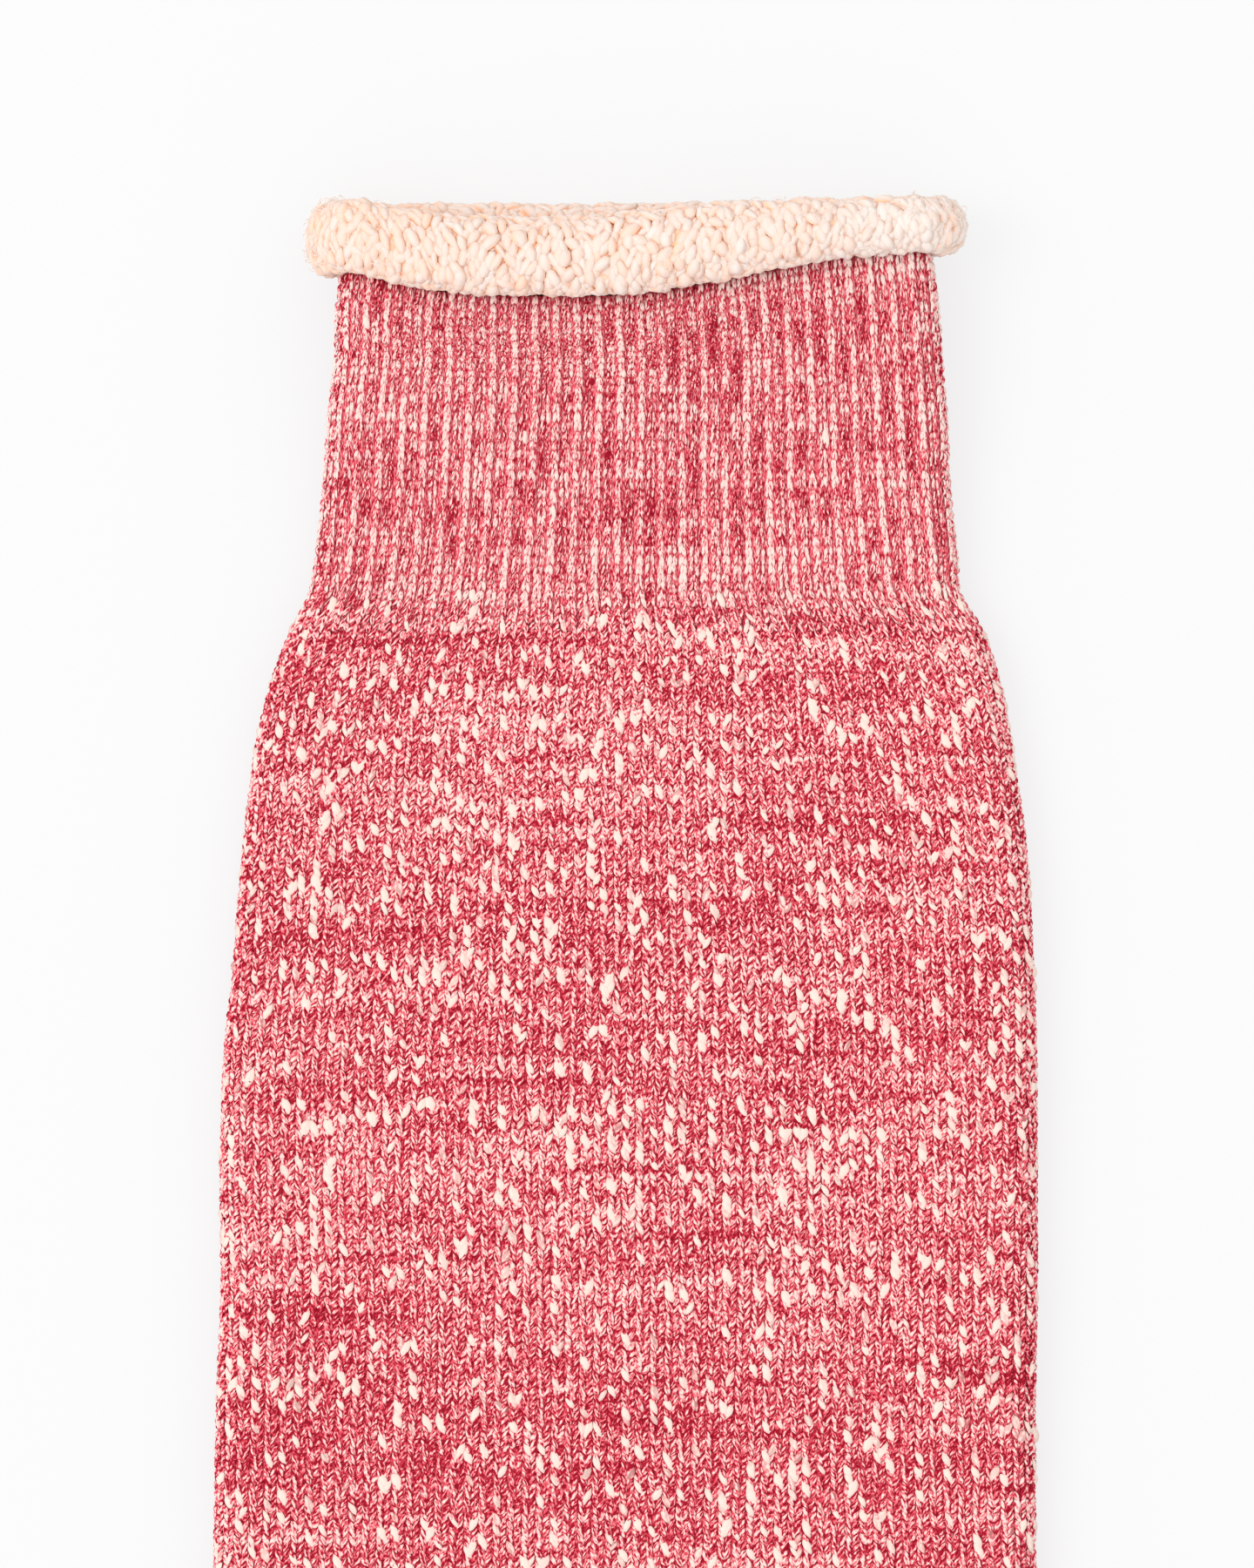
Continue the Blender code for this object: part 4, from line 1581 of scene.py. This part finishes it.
@dataclass
class Studio:
    """Pale floor, soft light and the camera over the sock."""

    camera_height: float = 1.0
    frame_height: float = 0.2002
    sensor: float = 36.0
    view_depth: float = 74.7
    floor_size: float = 1.6
    floor_colour: tuple = (0.15, 0.15, 0.15)
    floor_glow: float = 0.745
    white: tuple = (1.0, 1.0, 1.0)
    sky: float = 1.25
    lamp_power: float = 14.0
    lamp_size: float = 1.2
    lamp_place: tuple = (-1.2, 0.3, 1.5)

    def floor(self) -> None:
        """Lays the floor."""
        bm = bmesh.new()
        bmesh.ops.create_grid(bm, x_segments=1, y_segments=1, size=self.floor_size)
        piece = from_bmesh("floor", bm)
        settings = {
            "Base Color": self.floor_colour,
            "Roughness": 1.0,
            "Specular IOR Level": 0.0,
            "Emission Color": self.white,
            "Emission Strength": self.floor_glow,
        }
        piece.data.materials.append(Shader("floor_paper").finish(settings))

    def lights(self) -> None:
        """Sets the white surroundings and the large soft lamp at the upper left."""
        scene = bpy.context.scene
        scene.world = bpy.data.worlds.new("studio")
        scene.world.use_nodes = True
        sky = scene.world.node_tree.nodes["Background"]
        sky.inputs["Color"].default_value = (*self.white, 1.0)
        sky.inputs["Strength"].default_value = self.sky
        lamp = bpy.data.lights.new("lamp", "AREA")
        lamp.shape = "DISK"
        lamp.size = self.lamp_size
        lamp.energy = self.lamp_power
        holder = add_object("lamp", lamp)
        holder.location = Vector(self.lamp_place)
        holder.rotation_euler = (-holder.location).to_track_quat("-Z", "Y").to_euler()
        scene.view_settings.view_transform = "Standard"

    def camera(self) -> None:
        """Hangs the camera straight over the leg, as the photograph was taken."""
        data = bpy.data.cameras.new("camera")
        data.sensor_width = self.sensor
        data.lens = self.sensor * self.camera_height / self.frame_height
        camera = add_object("camera", data)
        camera.location = Vector(TO_FRAME) * MM + Vector((0.0, -self.view_depth, FLAT)) * MM
        camera.location.z += self.camera_height
        bpy.context.scene.camera = camera


def stretches() -> list[Stretch]:
    """Sizes the knitted stretches of the sock.

    Returns:
        The stretches, from the cuff to the toe.
    """
    close = SEAM / 2 - CLOSED  # how far a stretch reaches over the part's seam gap
    return [
        RibCuff(
            "rib_cuff", 11, CUFF_TOP, CUFF_END + close, leg_row, (0.165, 0.049),
            (Band("cuff_stitches", 0, None, 4),),
            ((CUFF_TOP, 1.22), (44.0, 1.22), (CUFF_END, 0.95)),
            "red_marl_rib",
            Pattern.RIB,
        ),
        Stretch(
            "leg", 23, CUFF_END + SEAM - close, ANKLE_END - CLOSED, lower_row, (0.217, 0.150),
            (
                Band("leg_stitches_upper", 0, 66, 4),
                Band("leg_stitches_lower", 66, 132, 4),
                Band("ankle_stitches", 132, None, 3),
            ),
            ((CUFF_END, 0.878), (110.0, 0.934), (176.0, 0.956)),
        ),
        Heel(
            "heel", 37, 0.0, HEEL_FOLD_LENGTH, heel_row, (0.107, 0.070),
            (Band("heel_stitches", 0, None, 3),),
            cut_area=0.0050,
        ),
        Stretch(
            "foot", 41, CLOSED, FOOT_LENGTH + SEAM - CLOSED, foot_row, (0.205, 0.150),
            (Band("foot_stitches_back", 0, 82, 3), Band("foot_stitches_front", 82, None, 3)),
        ),
        Toe("toe", 53, 0.0, TOE_LENGTH, toe_row, (0.190, 0.046), (Band("toe_stitches", 0, None, 3),)),
    ]


def main() -> None:
    """Builds the sock, its stage and its view, and reports each piece."""
    logging.basicConfig(level=logging.INFO, format="%(name)s: %(message)s")
    studio = Studio()
    studio.camera()
    studio.floor()
    studio.lights()
    rib_ground = KnitGround("rib_ground", between=0.34, strands=(8.0, 1.6, 0.8), ribbed=0.4)
    finishes = Finishes(
        yarn=MarlYarn().material(),
        grounds={Pattern.PLAIN: KnitGround().material(), Pattern.RIB: rib_ground.material()},
        terry=TerryYarn().material(),
        fibre=TerryYarn("terry_fibre", relief=0.000002).material(),
        terry_ground=TerryGround().material(),
    )
    built = RolledTop().build(finishes)
    for stretch in stretches():
        built += stretch.build(finishes)
    total = 0
    for piece in built:
        triangles = sum(len(face.vertices) - 2 for face in piece.data.polygons)
        total += triangles
        log.info("%s: %d triangles", piece.name, triangles)
    log.info("whole sock: %d triangles", total)


if __name__ == "__main__":
    main()
